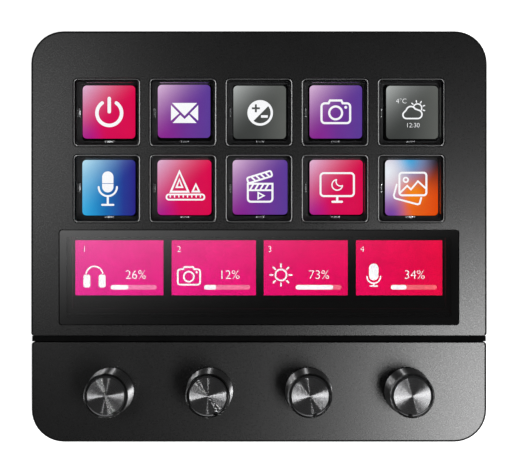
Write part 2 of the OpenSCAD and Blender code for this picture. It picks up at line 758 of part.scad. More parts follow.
module stand_plate() {
    color("#19191b") difference() {
        translate([0, stand_y, grip_t]) linear_extrude(stand_plate_t)
            rounded(stand_w - 2 * plate_inset, stand_l - 2 * plate_inset, stand_r - plate_inset);
        for (p = post_at) translate(p) {
            post(small_d + 2 * screw_gap, 0, stand_z + 1);
            post(small_head_d + 2 * screw_gap, 0, grip_t + small_head_h);
        }
    }
}

module grip_strips() {
    color("#2b2b2b") for (y = grip_at) translate([0, y, 0]) linear_extrude(grip_t)
        rounded(grip_l, grip_w, grip_w / 2 - 0.01);
}

// Screw with a flat round head: the head's top is at z = 0 and the shank points down
module screw(d, head_d, head_l, length) {
    difference() {
        union() {
            post(head_d, -head_l, 0);
            post(d, -head_l - length, -head_l / 2);
        }
        post(d * 0.75, -head_l / 2, 1, $fn = 6);
    }
}

module case_screws() {
    length = body_t - head_h - head_sink + frame_z + case_bite;
    color("#9a9da1") on_face() for (p = case_screw_at)
        translate([p[0], p[1], -body_t + head_sink]) mirror([0, 0, 1])
            screw(screw_d, screw_head_d, head_h, length);
}

module stand_screws() {
    color("#9a9da1") on_face() for (p = stand_screw_at)
        translate([p[0], p[1], -body_t - stand_wall - head_h]) mirror([0, 0, 1])
            screw(screw_d, screw_head_d, head_h, stand_wall + floor_t + bite);
}

// Small screws of the main board, the knob board and the stand's plate
module small_screws() {
    color("#9a9da1") {
        on_face() {
            for (p = board_screw_at) translate([p[0], p[1], board_z + small_head_h])
                screw(small_d, small_head_d, small_head_h, board_t + board_bite);
            for (p = knob_screw_at) translate([p[0], p[1], knob_board_z + small_head_h])
                screw(small_d, small_head_d, small_head_h, board_t + board_bite - fit_gap);
        }
        for (p = post_at) translate([p[0], p[1], grip_t]) mirror([0, 0, 1])
            screw(small_d, small_head_d, small_head_h, plate_screw_l);
    }
}

deck_cover();
knob_cover();
mid_frame();
back_cover();
strip_glass();
touch_film();
display_gasket();
key_mat();
contact_clips();
display_panel();
backlight();
display_tray();
main_board();
board_parts();
usb_socket();
knob_board();
ribbon_cable();
push_domes();
stand();
stand_plate();
grip_strips();
case_screws();
stand_screws();
small_screws();
for (i = [0 : rows * cols - 1])
    key_cap(i);
for (i = [0 : knobs - 1]) {
    encoder_case(i);
    bushing(i);
    detent_wheel(i);
    shaft(i);
    knob_body(i);
    knob_disc(i);
}
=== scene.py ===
# %% [markdown]
# # A macro keypad with clear keys, a touch strip and four push knobs
# The solids of this desk gadget come packed from the CAD model, each on the body that it moves with. This lesson
# dresses them: skins with soft edges, clear caps over lit pictures, spun metal discs, rubber grips, screws, a small
# studio and a camera. Everything is in metres, in the frame of the CAD model, so nothing has to be fitted by eye.

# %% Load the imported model
import bpy
import bmesh
import json
from math import radians, degrees, sin, cos, pi, hypot, atan2
from mathutils import Matrix, Vector
from mathutils.geometry import tessellate_polygon

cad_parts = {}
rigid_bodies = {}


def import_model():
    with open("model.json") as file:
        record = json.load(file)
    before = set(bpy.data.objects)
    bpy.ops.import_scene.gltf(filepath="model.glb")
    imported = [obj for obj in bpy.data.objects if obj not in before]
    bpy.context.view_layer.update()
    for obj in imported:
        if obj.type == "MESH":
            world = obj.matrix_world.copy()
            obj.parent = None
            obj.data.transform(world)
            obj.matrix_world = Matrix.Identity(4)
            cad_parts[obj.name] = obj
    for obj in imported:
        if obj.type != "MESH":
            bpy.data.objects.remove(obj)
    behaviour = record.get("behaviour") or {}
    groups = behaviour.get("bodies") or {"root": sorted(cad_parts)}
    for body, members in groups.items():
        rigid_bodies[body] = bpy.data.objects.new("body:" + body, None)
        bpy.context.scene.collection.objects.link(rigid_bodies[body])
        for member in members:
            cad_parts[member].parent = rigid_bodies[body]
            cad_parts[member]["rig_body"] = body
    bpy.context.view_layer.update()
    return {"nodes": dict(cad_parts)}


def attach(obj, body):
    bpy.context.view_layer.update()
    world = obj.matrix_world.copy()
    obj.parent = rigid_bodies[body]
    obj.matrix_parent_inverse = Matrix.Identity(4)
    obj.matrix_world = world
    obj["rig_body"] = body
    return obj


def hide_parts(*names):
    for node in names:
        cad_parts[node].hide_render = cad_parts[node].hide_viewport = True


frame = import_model()
scene = bpy.context.scene
nodes = frame["nodes"]

# %% [markdown]
# The keypad's slab lies on a slant. It is easier to think of its face as a sheet of paper: x to the right, y up the
# slope, z out of the face, zero on the deck, all in millimetres. One matrix then seats what was drawn on the paper.
# The numbers repeat the sizes of the CAD model.

# %% The sheet of the face
mm = 0.001
tilt = 20
face_y, face_z = -3.19105, 41.4915
face = Matrix.Translation((0, face_y * mm, face_z * mm)) @ Matrix.Rotation(radians(tilt), 4, "X")
seat = face @ Matrix.Scale(mm, 4)
unseat = seat.inverted()
upright = Matrix.Scale(mm, 4)
key_pitch, knob_y = 21.6, -43.7
key_at = [(x * key_pitch, y) for y in (35.2, 13.6) for x in (-2, -1, 0, 1, 2)]
knob_at = [(x, knob_y) for x in (-42, -14, 14, 42)]
pointer_at = [-62, -67, -75, -96]
strip_y = -11.6
panel_z = -4.9
disc_r, disc_low, disc_top = 5.65, 12.25, 13.05
edge_r, groove_rear, groove_front = 0.6, -28.2, -29.95
print("a point on the deck's middle lies at", [round(v, 5) for v in seat @ Vector((0, 0, 0))])

# %% [markdown]
# A few small helpers carry most of the modelling. One turns a bmesh into a seated mesh, the next hands it to its
# body. Another copies a CAD solid: its mesh is loose triangles, so equal points are merged, flat neighbours are joined
# into one face, and a fine bevel with weighted normals gives each edge the little radius that catches the light.
# A skin can follow a rule that moves some of its points, written in millimetres on the sheet of the face.

# %% Helpers: new pieces and skins
def put(name, data):
    """A new object in the scene."""
    holder = bpy.data.objects.new(name, data)
    scene.collection.objects.link(holder)
    return holder


def even_shading(piece):
    shade = piece.modifiers.new("even shading", "WEIGHTED_NORMAL")
    shade.keep_sharp = True
    shade.weight = 60


def place_mesh(name, mesh, body, slot, replaces=(), smooth=40, even=False):
    mesh.name = name
    mesh.shade_smooth()
    mesh.set_sharp_from_angle(angle=radians(smooth))
    piece = put(name, mesh)
    if even:
        even_shading(piece)
    if replaces:
        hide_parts(*replaces)
    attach(piece, body)
    return piece


def baked(name, bm, place, materials):
    mesh = bpy.data.meshes.new(name)
    bm.to_mesh(mesh)
    bm.free()
    mesh.transform(place)
    for material in materials:
        mesh.materials.append(material)
    return mesh


def make_piece(name, bm, body, materials, slot, place=seat, **rest):
    return place_mesh(name, baked(name, bm, place, materials), body, slot, **rest)


def merged_copy(node):
    source = nodes[node].data
    plain = bpy.data.meshes.new("merged")
    plain.from_pydata([v.co[:] for v in source.vertices], [], [p.vertices[:] for p in source.polygons])
    bm = bmesh.new()
    bm.from_mesh(plain)
    bpy.data.meshes.remove(plain)
    bmesh.ops.remove_doubles(bm, verts=bm.verts, dist=0.002 * mm)
    bmesh.ops.dissolve_limit(bm, angle_limit=radians(0.5), verts=bm.verts, edges=bm.edges)
    return bm


def crisp(edge, side, reach, keep=0.3, slack=0.01):
    """Draws in a cover's rounding along the straight of the groove, where the mould parts and leaves a crisp edge."""
    def rule(p):
        inward = (p.y - edge) * side
        if abs(p.x) < reach and -slack < inward < edge_r + slack and p.z > -edge_r - slack:
            return p.x, edge + side * inward * keep, p.z * keep
    return rule


def spread(end, depth, out=0.35, slack=0.01):
    """Carries the two ends of the rib in the groove outwards, close to the covers' sides."""
    def rule(p):
        if abs(p.x) > end - slack and p.z > -depth - slack:
            return p.x + (out if p.x > 0 else -out), p.y, p.z
    return rule


def skin(node, name, material, slot, width=0.12, limit=30, rule=None):
    bm, body = merged_copy(node), nodes[node]["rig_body"]
    for vert in bm.verts if rule else ():
        spot = rule(unseat @ vert.co)
        if spot:
            vert.co = seat @ Vector(spot)
    piece = make_piece(name, bm, body, [material], slot, Matrix.Identity(4), replaces=[node], smooth=60)
    bevel = piece.modifiers.new("soft edges", "BEVEL")
    bevel.width = width * mm
    bevel.segments = 2
    bevel.limit_method = "ANGLE"
    bevel.angle_limit = radians(limit)
    bevel.use_clamp_overlap = True
    even_shading(piece)
    print(name, len(piece.data.polygons), "faces")
    return piece

# %% [markdown]
# Every finish is a small node tree, and a few helpers wire it. One adds a node and gives each of its inputs a value,
# or the output that feeds it. The others add what the finishes share: a sum, a ramp, a noise, a mix, a relief.

# %% Helpers: node trees
def feed(tree, target, inputs):
    """Sets a node's inputs. Each is given as a value, or as the output that feeds it."""
    for name, value in inputs.items():
        if isinstance(value, bpy.types.NodeSocket):
            tree.links.new(value, target.inputs[name])
        else:
            target.inputs[name].default_value = value


def add(tree, kind, inputs=None, **settings):
    made = tree.nodes.new(kind)
    for key, value in settings.items():
        setattr(made, key, value)
    feed(tree, made, inputs or {})
    return made


def calc(tree, one, operation, other=0.0):
    return add(tree, "ShaderNodeMath", {0: one, 1: other}, operation=operation).outputs[0]


def blank(name):
    material = bpy.data.materials.new(name)
    material.use_nodes = True
    tree = material.node_tree
    return material, tree, tree.nodes["Principled BSDF"]


def show(tree, shader):
    tree.links.new(shader, tree.nodes["Material Output"].inputs["Surface"])


def show_both(tree, weight, one, other):
    show(tree, add(tree, "ShaderNodeMixShader", {0: weight, 1: one, 2: other}).outputs["Shader"])


def parts(tree, value):
    """The X, Y and Z of a vector."""
    return add(tree, "ShaderNodeSeparateXYZ", {"Vector": value}).outputs


def between(tree, value, start, end, low, high, **settings):
    """A value's way from start to end, stretched over the way from low to high."""
    made = add(tree, "ShaderNodeMapRange", {
        "Value": value, "From Min": start, "From Max": end, "To Min": low, "To Max": high}, **settings)
    return made.outputs["Result"]


def ramp(tree, value, stops):
    """A colour ramp. Each stop is a position and a colour."""
    made = add(tree, "ShaderNodeValToRGB", {"Fac": value})
    elements = made.color_ramp.elements
    while len(elements) < len(stops):
        elements.new(0.5)
    for element, (position, colour) in zip(elements, stops):
        element.position = position
        element.color = colour
    return made.outputs["Color"]


def sheet_place(tree, scale=(1, 1, 1)):
    """Object coordinates turned to run along the slanted face."""
    place = add(tree, "ShaderNodeTexCoord").outputs["Object"]
    return add(tree, "ShaderNodeMapping", {
        "Vector": place, "Scale": scale, "Rotation": (radians(-tilt), 0, 0)}).outputs["Vector"]


def noise(tree, grain, detail=2.0, rough=0.5, stretch=None):
    place = sheet_place(tree, stretch) if stretch else add(tree, "ShaderNodeTexCoord").outputs["Object"]
    return add(tree, "ShaderNodeTexNoise", {
        "Vector": place, "Scale": 1 / (grain * mm), "Detail": detail, "Roughness": rough}).outputs["Fac"]


def drift(tree, noise_value, low, high):
    """A number that follows a noise between two values."""
    return between(tree, noise_value, 0.3, 0.7, low, high)


def mix(tree, weight, one, other, **settings):
    return add(tree, "ShaderNodeMix", {"Factor": weight, "A": one, "B": other},
               data_type="RGBA", **settings).outputs["Result"]


def tint(tree, noise_value, one, other):
    """A colour that follows a noise between two colours."""
    return mix(tree, drift(tree, noise_value, 0, 1), (*one, 1), (*other, 1))


def relief(tree, height, depth, **settings):
    return add(tree, "ShaderNodeBump", {"Height": height, "Distance": depth * mm}, **settings).outputs["Normal"]

# %% [markdown]
# A moulded part takes its grain from a noise texture on Object coordinates, which stay with the piece: one fine noise
# drives a bump and the gloss, and a broad one lets the colour drift a little, as a moulding's does. The same recipe
# with other numbers makes foam, rubber and board.

# %% Finishes: moulded plastics
def moulded(name, colour, gloss, grain, depth, mottle=0.15, broad=9, detail=3.0, stretch=None, **inputs):
    """Colour and gloss follow two noises. More inputs of the shader are given by name, with _ for a space."""
    material, tree, shader = blank(name)
    fine = noise(tree, grain, detail, 0.6, stretch)
    low, high = [c * (1 - mottle) for c in colour], [min(c * (1 + mottle), 1) for c in colour]
    feed(tree, shader, {"Base Color": tint(tree, noise(tree, broad), low, high), "Roughness": drift(tree, fine, *gloss),
                        "Normal": relief(tree, fine, depth)})
    feed(tree, shader, {label.replace("_", " "): value for label, value in inputs.items()})
    return material


cover_sand = moulded("cover sand", (0.0035, 0.0035, 0.0036), (0.25, 0.32), 0.33, 0.006)
back_sand = moulded("back sand", (0.014, 0.014, 0.015), (0.4, 0.5), 0.4, 0.005)
frame_black = moulded("frame black", (0.011, 0.011, 0.0114), (0.4, 0.5), 0.8, 0.004, Specular_IOR_Level=0.2)
foam_black = moulded("foam black", (0.006, 0.006, 0.006), (0.85, 0.95), 0.25, 0.05)
mat_silicone = moulded("mat silicone", (0.021, 0.0205, 0.021), (0.5, 0.62), 0.5, 0.008, Specular_IOR_Level=0.15)
grip_rubber = moulded("grip rubber", (0.02, 0.02, 0.021), (0.7, 0.82), 0.35, 0.03)
white_moulding = moulded("white moulding", (0.76, 0.76, 0.72), (0.3, 0.4), 0.8, 0.004, 0.03)
chip_black = moulded("chip black", (0.012, 0.012, 0.013), (0.45, 0.6), 0.3, 0.004)
ribbon_white = moulded("ribbon white", (0.6, 0.58, 0.5), (0.35, 0.45), 1.0, 0.003, 0.05)
cut_edge = moulded("cap cut edge", (0.04, 0.0405, 0.041), (0.18, 0.24), 0.25, 0.001, 0.1, Specular_IOR_Level=1.0)
pane_border = moulded("pane border", (0.002, 0.002, 0.0022), (0.04, 0.07), 2.0, 0.0001, 0.1, IOR=1.85)
panel_black = moulded("panel black", (0.002, 0.002, 0.0022), (0.3, 0.4), 2.0, 0.0005, 0.1, Specular_IOR_Level=0.1)
print("plastics made:", len(bpy.data.materials))

# %% [markdown]
# Metals differ in how they were worked. Sheet and screws get a fine scatter of scratches, brass a warm drift.
# A disc that was faced on a lathe has grooves round its middle: the highlight spreads across them, so it shows as
# bright fans from the middle. Anisotropy does this, with a tangent that follows a UV map of radius and angle. Two
# metal shaders are mixed for it, one for the broad fans and one for the thin spokes. A turned wall works alike.

# %% Finishes: metals and boards
def worked_metal(name, colour, gloss, grain=0.4, depth=0.002, mottle=0.12, stretch=None):
    return moulded(name, colour, gloss, grain, depth, mottle, broad=5, detail=4.0, stretch=stretch, Metallic=1)


sheet_metal = worked_metal("sheet metal", (0.55, 0.56, 0.58), (0.28, 0.42), 0.5, 0.002, 0.08, (1, 0.08, 1))
clip_metal = worked_metal("clip metal", (0.6, 0.6, 0.6), (0.18, 0.28), 0.4, 0.001)
screw_zinc = worked_metal("screw zinc", (0.42, 0.42, 0.43), (0.28, 0.4), 0.3, 0.003)
case_steel = worked_metal("case steel", (0.4, 0.41, 0.42), (0.3, 0.42))
shaft_steel = worked_metal("shaft steel", (0.56, 0.57, 0.58), (0.18, 0.3), 0.3, 0.001)
bushing_brass = worked_metal("bushing brass", (0.62, 0.46, 0.2), (0.2, 0.34), 0.3)
contact_gold = worked_metal("contact gold", (0.83, 0.6, 0.24), (0.18, 0.26), 0.4, 0.001)
disc_edge = worked_metal("disc edge", (0.15, 0.15, 0.154), (0.12, 0.2), 0.3, 0.0005)


def turning(tree, uv_map):
    """The UV map of a turned part, and the tangent that follows it."""
    return (add(tree, "ShaderNodeUVMap", uv_map=uv_map).outputs["UV"],
            add(tree, "ShaderNodeTangent", direction_type="UV_MAP", uv_map=uv_map).outputs["Tangent"])


def spun_metal():
    material, tree, shader = blank("disc spun")
    chart, along = turning(tree, "radius and angle")
    lines = add(tree, "ShaderNodeMapping", {"Vector": chart, "Scale": (260, 3, 1)}).outputs["Vector"]
    fine = add(tree, "ShaderNodeTexNoise", {"Vector": lines, "Scale": 1, "Detail": 3}).outputs["Fac"]
    shade = tint(tree, fine, (0.21, 0.21, 0.215), (0.29, 0.29, 0.295))
    feed(tree, shader, {"Base Color": shade, "Roughness": drift(tree, fine, 0.28, 0.34), "Metallic": 1,
                        "Anisotropic": 1.0, "Tangent": along})
    streak = add(tree, "ShaderNodeBsdfAnisotropic", {
        "Color": shade, "Roughness": drift(tree, fine, 0.26, 0.29), "Anisotropy": -0.85, "Tangent": along})
    show_both(tree, 0.85, shader.outputs["BSDF"], streak.outputs["BSDF"])
    return material


def turned_black():
    """Black metal with saw-toothed rings left by the turning tool, with painted shade: its colour is darkened at its
    foot and where the top begins.
    """
    material, tree, shader = blank("knob turned")
    chart, along = turning(tree, "height and angle")
    ring_pitch, ring_depth, foot, rim = 0.4, 1.0, -6, 7
    rings = add(tree, "ShaderNodeTexWave", {"Vector": chart, "Scale": pi / 10 / ring_pitch},
                wave_type="BANDS", bands_direction="X", wave_profile="SAW")
    # Painted shade: this ramp darkens the colour at the foot, where the knob meets the deck, and at the edge of the
    # top.
    painted_shade_ends = [(at, (level, level, level, 1)) for at, level in ((0.06, 0.12), (0.10, 1), (0.91, 1), (0.94, 0.35))]
    edges = ramp(tree, between(tree, parts(tree, chart)["X"], foot, rim, 0, 1), painted_shade_ends)
    fine = noise(tree, 0.4)
    shade = tint(tree, fine, (0.17, 0.17, 0.172), (0.21, 0.21, 0.213))
    feed(tree, shader, {
        "Base Color": mix(tree, 1, shade, edges, blend_type="MULTIPLY"),
        "Roughness": drift(tree, fine, 0.27, 0.31), "Tangent": along, "Metallic": 1, "Anisotropic": 1.0,
        "Normal": relief(tree, rings.outputs["Fac"], ring_depth, invert=True)})
    return material


def circuit_board():
    material, tree, shader = blank("board green")
    tracks = add(tree, "ShaderNodeTexBrick", {
        "Vector": sheet_place(tree), "Scale": 1 / (1.2 * mm), "Mortar Size": 0.05, "Color1": (0.012, 0.09, 0.035, 1),
        "Color2": (0.015, 0.11, 0.045, 1), "Mortar": (0.04, 0.2, 0.08, 1)}, offset=0.5)
    fine = noise(tree, 0.6)
    feed(tree, shader, {"Base Color": tracks.outputs["Color"], "Roughness": drift(tree, fine, 0.3, 0.4),
                        "Normal": relief(tree, fine, 0.003)})
    return material


disc_spun, knob_turned, board_green = spun_metal(), turned_black(), circuit_board()
print("finishes made:", len(bpy.data.materials))

# %% [markdown]
# Clear parts could be made with a refracting glass, but thin walls over a picture then need many bounces and grow
# noisy. A mix of see-through and gloss, weighted by Fresnel, shows what matters: the picture behind, and a clean
# reflection that grows towards the edges. The cut edge of such a cap is frosted by its tool, so it glows softly.

# %% Finishes: clear plastic and glass
def clear(name, colour, gloss, index):
    material, tree, shader = blank(name)
    tree.nodes.remove(shader)
    broad = noise(tree, 6)
    through = add(tree, "ShaderNodeBsdfTransparent", {"Color": tint(tree, broad, colour, [c * 0.97 for c in colour])})
    shine = add(tree, "ShaderNodeBsdfGlossy", {"Roughness": drift(tree, broad, *gloss)})
    fresnel = add(tree, "ShaderNodeFresnel", {"IOR": index})
    show_both(tree, fresnel.outputs["Fac"], through.outputs["BSDF"], shine.outputs["BSDF"])
    return material


clear_cap = clear("cap clear", (0.97, 0.975, 0.98), (0.02, 0.04), 1.25)
clear_pane = clear("pane tinted", (0.6, 0.6, 0.605), (0.04, 0.07), 1.85)
clear_film = clear("film clear", (0.98, 0.98, 0.97), (0.05, 0.08), 1.05)
print("clear finishes made: 3")

# %% [markdown]
# The covers, the back, the stand, its plate and the frame keep the CAD model's shapes, as skins with softened edges.
# Real mouldings have no knife edges, and a radius of a tenth of a millimetre is enough to draw a thin line of light.
# Along the groove between the covers the edges stay crisp, and the frame's rib reaches close to the covers' sides.

# %% Skins of the housing
deck_reach, knob_cover_reach = 63.96, 63.83
rib_end, rib_depth = 64.25, 1.2
for node, name, finish, slot, width, limit, rule in (
        ("deck_cover", "deck_skin", cover_sand, "cover_plastic", 0.1, 18, crisp(groove_rear, 1, deck_reach)),
        ("knob_cover", "knob_cover_skin", cover_sand, "cover_plastic", 0.1, 18,
         crisp(groove_front, -1, knob_cover_reach)),
        ("back_cover", "back_skin", back_sand, "back_plastic", 0.12, 18, None),
        ("stand", "stand_skin", back_sand, "back_plastic", 0.3, 30, None),
        ("stand_plate", "plate_skin", back_sand, "back_plastic", 0.2, 30, None),
        ("mid_frame", "frame_skin", frame_black, "frame_plastic", 0.08, 30, spread(rib_end, rib_depth))):
    skin(node, name, finish, slot, width, limit, rule)

# %% [markdown]
# Outlines drawn on the sheet make the flat work: a rounded rectangle, an arc, and a line with a width and round
# ends. A plate is an outline with holes, cut into triangles and given a thickness, closed all round.

# %% Helpers: outlines and plates
def arc(x, y, r, start, end, steps=20):
    return [(x + r * cos(radians(start + (end - start) * k / steps)),
             y + r * sin(radians(start + (end - start) * k / steps))) for k in range(steps + 1)]


def circle(x, y, r, steps):
    return arc(x, y, r, 0, 360, steps)[:-1]


def rounded(w, l, r, x=0.0, y=0.0, steps=8):
    corners = [(1, -1, -90), (1, 1, 0), (-1, 1, 90), (-1, -1, 180)]
    return [p for sx, sy, a in corners
            for p in arc(x + sx * (w / 2 - r), y + sy * (l / 2 - r), r, a, a + 90, steps)]


def moved(loop, x, y, turn=0):
    c, s = cos(radians(turn)), sin(radians(turn))
    return [(x + c * px - s * py, y + s * px + c * py) for px, py in loop]


def sides_of(points, width, closed):
    """The two lines that run beside a path, half a width away on either side."""
    count = len(points)
    left, right = [], []
    for k, (x, y) in enumerate(points):
        before = points[k - 1] if closed or k else points[k]
        after = points[(k + 1) % count] if closed or k < count - 1 else points[k]
        one = Vector((x - before[0], y - before[1]))
        two = Vector((after[0] - x, after[1] - y))
        one = one.normalized() if one.length > 1e-6 else two.normalized()
        two = two.normalized() if two.length > 1e-6 else one
        along = (one + two).normalized() if (one + two).length > 1e-6 else one
        reach = width / 2 / max(along.dot(one), 0.5)
        left.append((x - along.y * reach, y + along.x * reach))
        right.append((x + along.y * reach, y - along.x * reach))
    return left, right


def line(points, width, closed=False):
    left, right = sides_of(points, width, closed)
    if closed:
        return [left, right]

    def cap(centre, start):
        a = degrees(atan2(start[1] - centre[1], start[0] - centre[0]))
        return arc(*centre, width / 2, a, a - 180, 8)[1:-1]

    return [left + cap(points[-1], left[-1]) + right[::-1] + cap(points[0], right[0])]


def area(loop):
    return sum(loop[k - 1][0] * y - x * loop[k - 1][1] for k, (x, y) in enumerate(loop)) / 2


def plate(bm, loops, low, high, slot=0):
    if len(loops) == 2 and abs(area(loops[0])) < abs(area(loops[1])):
        loops = loops[::-1]
    tops = [bm.verts.new((x, y, high)) for loop in loops for x, y in loop]
    feet = [bm.verts.new((x, y, low)) for loop in loops for x, y in loop]
    made = []
    for a, b, c in tessellate_polygon([[Vector((x, y, 0)) for x, y in loop] for loop in loops]):
        made.append(bm.faces.new((tops[a], tops[b], tops[c])))
        made.append(bm.faces.new((feet[c], feet[b], feet[a])))
    start = 0
    for loop in loops:
        for k in range(len(loop)):
            a, b = start + k, start + (k + 1) % len(loop)
            made.append(bm.faces.new((tops[a], tops[b], feet[b], feet[a])))
        start += len(loop)
    bmesh.ops.recalc_face_normals(bm, faces=made)
    for f in made:
        f.material_index = slot
        f.smooth = False

# %% [markdown]
# A lit picture gives off its own light, so its colour goes into the emission. The colours come from a UV map that
# runs over each picture from corner to corner: a ramp from left to right, a pale corner of painted glare in the upper
# left, which stands in for a reflection on the glass, and a second tint in the lower left corner. The painted glare
# fades along the diagonal, the others with the distance from their corner.

# %% Finishes: lit pictures
gamma = 2.2


def srgb(*values):
    return (*[(v / 255 / 12.92) if v <= 10 else ((v / 255 + 0.055) / 1.055) ** 2.4 for v in values], 1)


def glow(tree, chart, under, corner, reach, colour, strength):
    gap = add(tree, "ShaderNodeVectorMath", {0: chart, 1: (*corner, 0)}, operation="DISTANCE").outputs["Value"]
    fall = between(tree, gap, 0, reach, strength, 0, interpolation_type="SMOOTHSTEP")
    return mix(tree, fall, under, srgb(*colour))


def pale_corner(tree, chart, under, colour, strength, reach):
    """Painted glare: a pale colour that stands in for a reflection on the glass, fading along the diagonal from the
    upper left corner.
    """
    split = parts(tree, chart)
    fall = between(tree, calc(tree, split["X"], "SUBTRACT", split["Y"]), -1, reach - 1, 1, 0)
    weight = calc(tree, calc(tree, fall, "POWER", gamma), "MULTIPLY", strength)
    return mix(tree, weight, under, srgb(*colour))


def lit(name, stops, power, glows=(), pale=None):
    material, tree, shader = blank(name)
    chart = add(tree, "ShaderNodeUVMap", uv_map="picture").outputs["UV"]
    colour = ramp(tree, parts(tree, chart)["X"], [(at, srgb(*shade)) for at, shade in stops])
    for corner, reach, shade, strength in glows:
        colour = glow(tree, chart, colour, corner, reach, shade, strength)
    # Painted glare: a pale upper left corner that stands in for a reflection on the glass.
    if pale:
        colour = pale_corner(tree, chart, colour, *pale)
    feed(tree, shader, {"Emission Color": colour, "Emission Strength": power, "Base Color": (0.004, 0.004, 0.004, 1),
                        "Specular IOR Level": 0.0})
    return material


key_power, under_pane = 1.05, 3.4
# These pale corner colours, here and in pale= below, are painted glare. They stand in for a reflection on the glass.
painted_glare_lilac = ((236, 205, 232), 0.85, 1.2)
white_stops = [(0, (250, 250, 250)), (1, (250, 250, 252))]
lit_crimson = lit("lit crimson", [(0, (206, 16, 112)), (0.4, (216, 8, 86)), (1, (222, 8, 76))], key_power,
                  [((0, 0), 0.5, (168, 28, 140), 0.9)], painted_glare_lilac)
lit_purple = lit("lit purple", [(0, (140, 42, 150)), (0.5, (112, 50, 148)), (1, (92, 60, 152))], key_power,
                 [((0, 0), 0.6, (138, 36, 142), 0.8)], painted_glare_lilac)
lit_grey = lit("lit grey", [(0, (60, 62, 60)), (0.45, (66, 68, 66)), (1, (96, 98, 94))], key_power,
               pale=((200, 203, 200), 0.8, 1.2))
lit_blue = lit("lit blue", [(0, (48, 172, 226)), (0.45, (26, 110, 180)), (0.78, (38, 58, 148)), (1, (44, 38, 132))],
               key_power, pale=((206, 238, 246), 0.85, 1.2))
lit_sunset = lit("lit sunset", [(0, (205, 110, 130)), (0.4, (240, 108, 30)), (1, (224, 74, 8))], key_power,
                 [((0, 0.35), 0.5, (176, 150, 200), 1.0), ((0.1, 0), 0.45, (120, 70, 165), 1.0),
                  ((0.55, 0.4), 0.3, (250, 140, 18), 0.9), ((1, 1), 0.72, (40, 28, 34), 1.0),
                  ((0.42, 1.0), 0.6, (40, 165, 222), 1.0), ((0, 0.8), 0.58, (240, 244, 250), 1.0)])
lit_strip = lit("lit strip", [(0, (230, 8, 142)), (0.33, (231, 0, 124)), (0.66, (231, 0, 96)), (1, (232, 0, 64))],
                under_pane)
lit_white = lit("lit white", white_stops, 1.1)
strip_white = lit("strip white", white_stops, 3.7)
strip_pale = lit("strip pale", [(0, (246, 130, 186)), (1, (250, 104, 112))], under_pane)
print("lit finishes made")

# %% [markdown]
# Each picture is a thin plate that lies on the display, just inside its window in the key mat, with its sign on top
# as thinner plates. The signs are drawn with the outline helpers, in millimetres from the picture's middle.

# %% Helpers: pictures and signs
picture_low, picture_top, sign_top = panel_z + 0.01, panel_z + 0.05, panel_z + 0.08
sign_foot = picture_top - 0.002
digit_rise, thinner = 0.69, 0.018


def chart_uv(bm, box):
    layer = bm.loops.layers.uv.new("picture")
    x0, y0, x1, y1 = box
    for f in bm.faces:
        for loop in f.loops:
            loop[layer].uv = ((loop.vert.co.x - x0) / (x1 - x0), (loop.vert.co.y - y0) / (y1 - y0))


def mesh_of(holder):
    """The mesh that an object makes once its curve or its modifiers are worked out."""
    mesh = bpy.data.meshes.new_from_object(holder.evaluated_get(bpy.context.evaluated_depsgraph_get()))
    bpy.data.objects.remove(holder)
    return mesh


def lettering(bm, text, height, x, y):
    """Digits from Blender's own font, made a mesh and moved to their place on the sheet."""
    curve = bpy.data.curves.new("digits", "FONT")
    curve.body = text
    curve.size = height / digit_rise
    curve.align_x, curve.align_y = "CENTER", "CENTER"
    curve.extrude = (sign_top - picture_top) / 2
    curve.offset = -thinner * height
    mesh = mesh_of(put("digits", curve))
    mesh.transform(Matrix.Translation((x, y, (picture_top + sign_top) / 2 + 0.002)))
    before = set(bm.faces)
    bm.from_mesh(mesh)
    for f in set(bm.faces) - before:
        f.material_index = 1
        f.smooth = False
    bpy.data.curves.remove(curve)
    bpy.data.meshes.remove(mesh)


def camera_sign(size=1.0, stroke=0.6):
    w, top, low, r = 4.12, 2.48, -3.21, 0.95
    body = (arc(w - r, low + r, r, -90, 0, 6) + arc(w - r, top - r, r, 0, 90, 6)
            + [(1.97, top), (1.6, 3.29), (-1.7, 3.29), (-2.08, top)]
            + arc(-w + r, top - r, r, 90, 180, 6) + arc(-w + r, low + r, r, 180, 270, 6))
    body, lens, dot = [[(px * size, py * size) for px, py in loop]
                       for loop in (body, circle(-0.05, -0.27, 1.85, 40), circle(2.85, 1.33, 0.42, 16))]
    return [line(body, stroke, True), line(lens, stroke, True), [dot]]


def rays(x, y, near, far, angles, width):
    return [line([(x + r * cos(a), y + r * sin(a)) for r in (near, far)], width) for a in angles]


power_sign = [line(arc(0.07, -0.3, 3.55, 125, 415, 40), 1.0), line([(0.07, 0.1), (0.07, 3.9)], 1.0)]
letter_foot = [(-3.45, -2.88), (3.45, -2.88), (1.25, -0.55), (0, -1.75), (-1.25, -0.55)]
letter_sign = [[moved(p, 0.14, -0.47)] for p in (
    [(-3.6, 2.88), (3.6, 2.88), (0, -0.85)], [(-3.9, 2.25), (-3.9, -2.2), (-1.55, -0.12)],
    [(3.9, 2.25), (1.55, -0.12), (3.9, -2.2)], letter_foot)]
cross = [(-0.28, -1.15), (0.28, -1.15), (0.28, -0.28), (1.15, -0.28), (1.15, 0.28), (0.28, 0.28),
         (0.28, 1.15), (-0.28, 1.15), (-0.28, 0.28), (-1.15, 0.28), (-1.15, -0.28), (-0.28, -0.28)]
plus_minus_sign = [[circle(0.14, -0.17, 3.68, 48), arc(0.14, -0.17, 3.0, -130, 40, 24)[::-1],
                    moved(cross, -1.1, 1.15)[::-1]], [rounded(1.95, 0.7, 0.1, 1.35, -1.2)]]
cloud = arc(-1.7, -0.72, 1.05, 270, 125, 12) + arc(-0.45, 0.3, 1.4, 165, 30, 14) + arc(1.5, -0.55, 1.22, 80, -90, 14)
weather_sign = [line(cloud, 0.42, True), line(arc(1.45, 1.25, 1.2, -25, 165, 18), 0.36),
                *rays(1.45, 1.25, 1.7, 2.15, [radians(a) for a in (-20, 20, 60, 100, 140)], 0.34)]
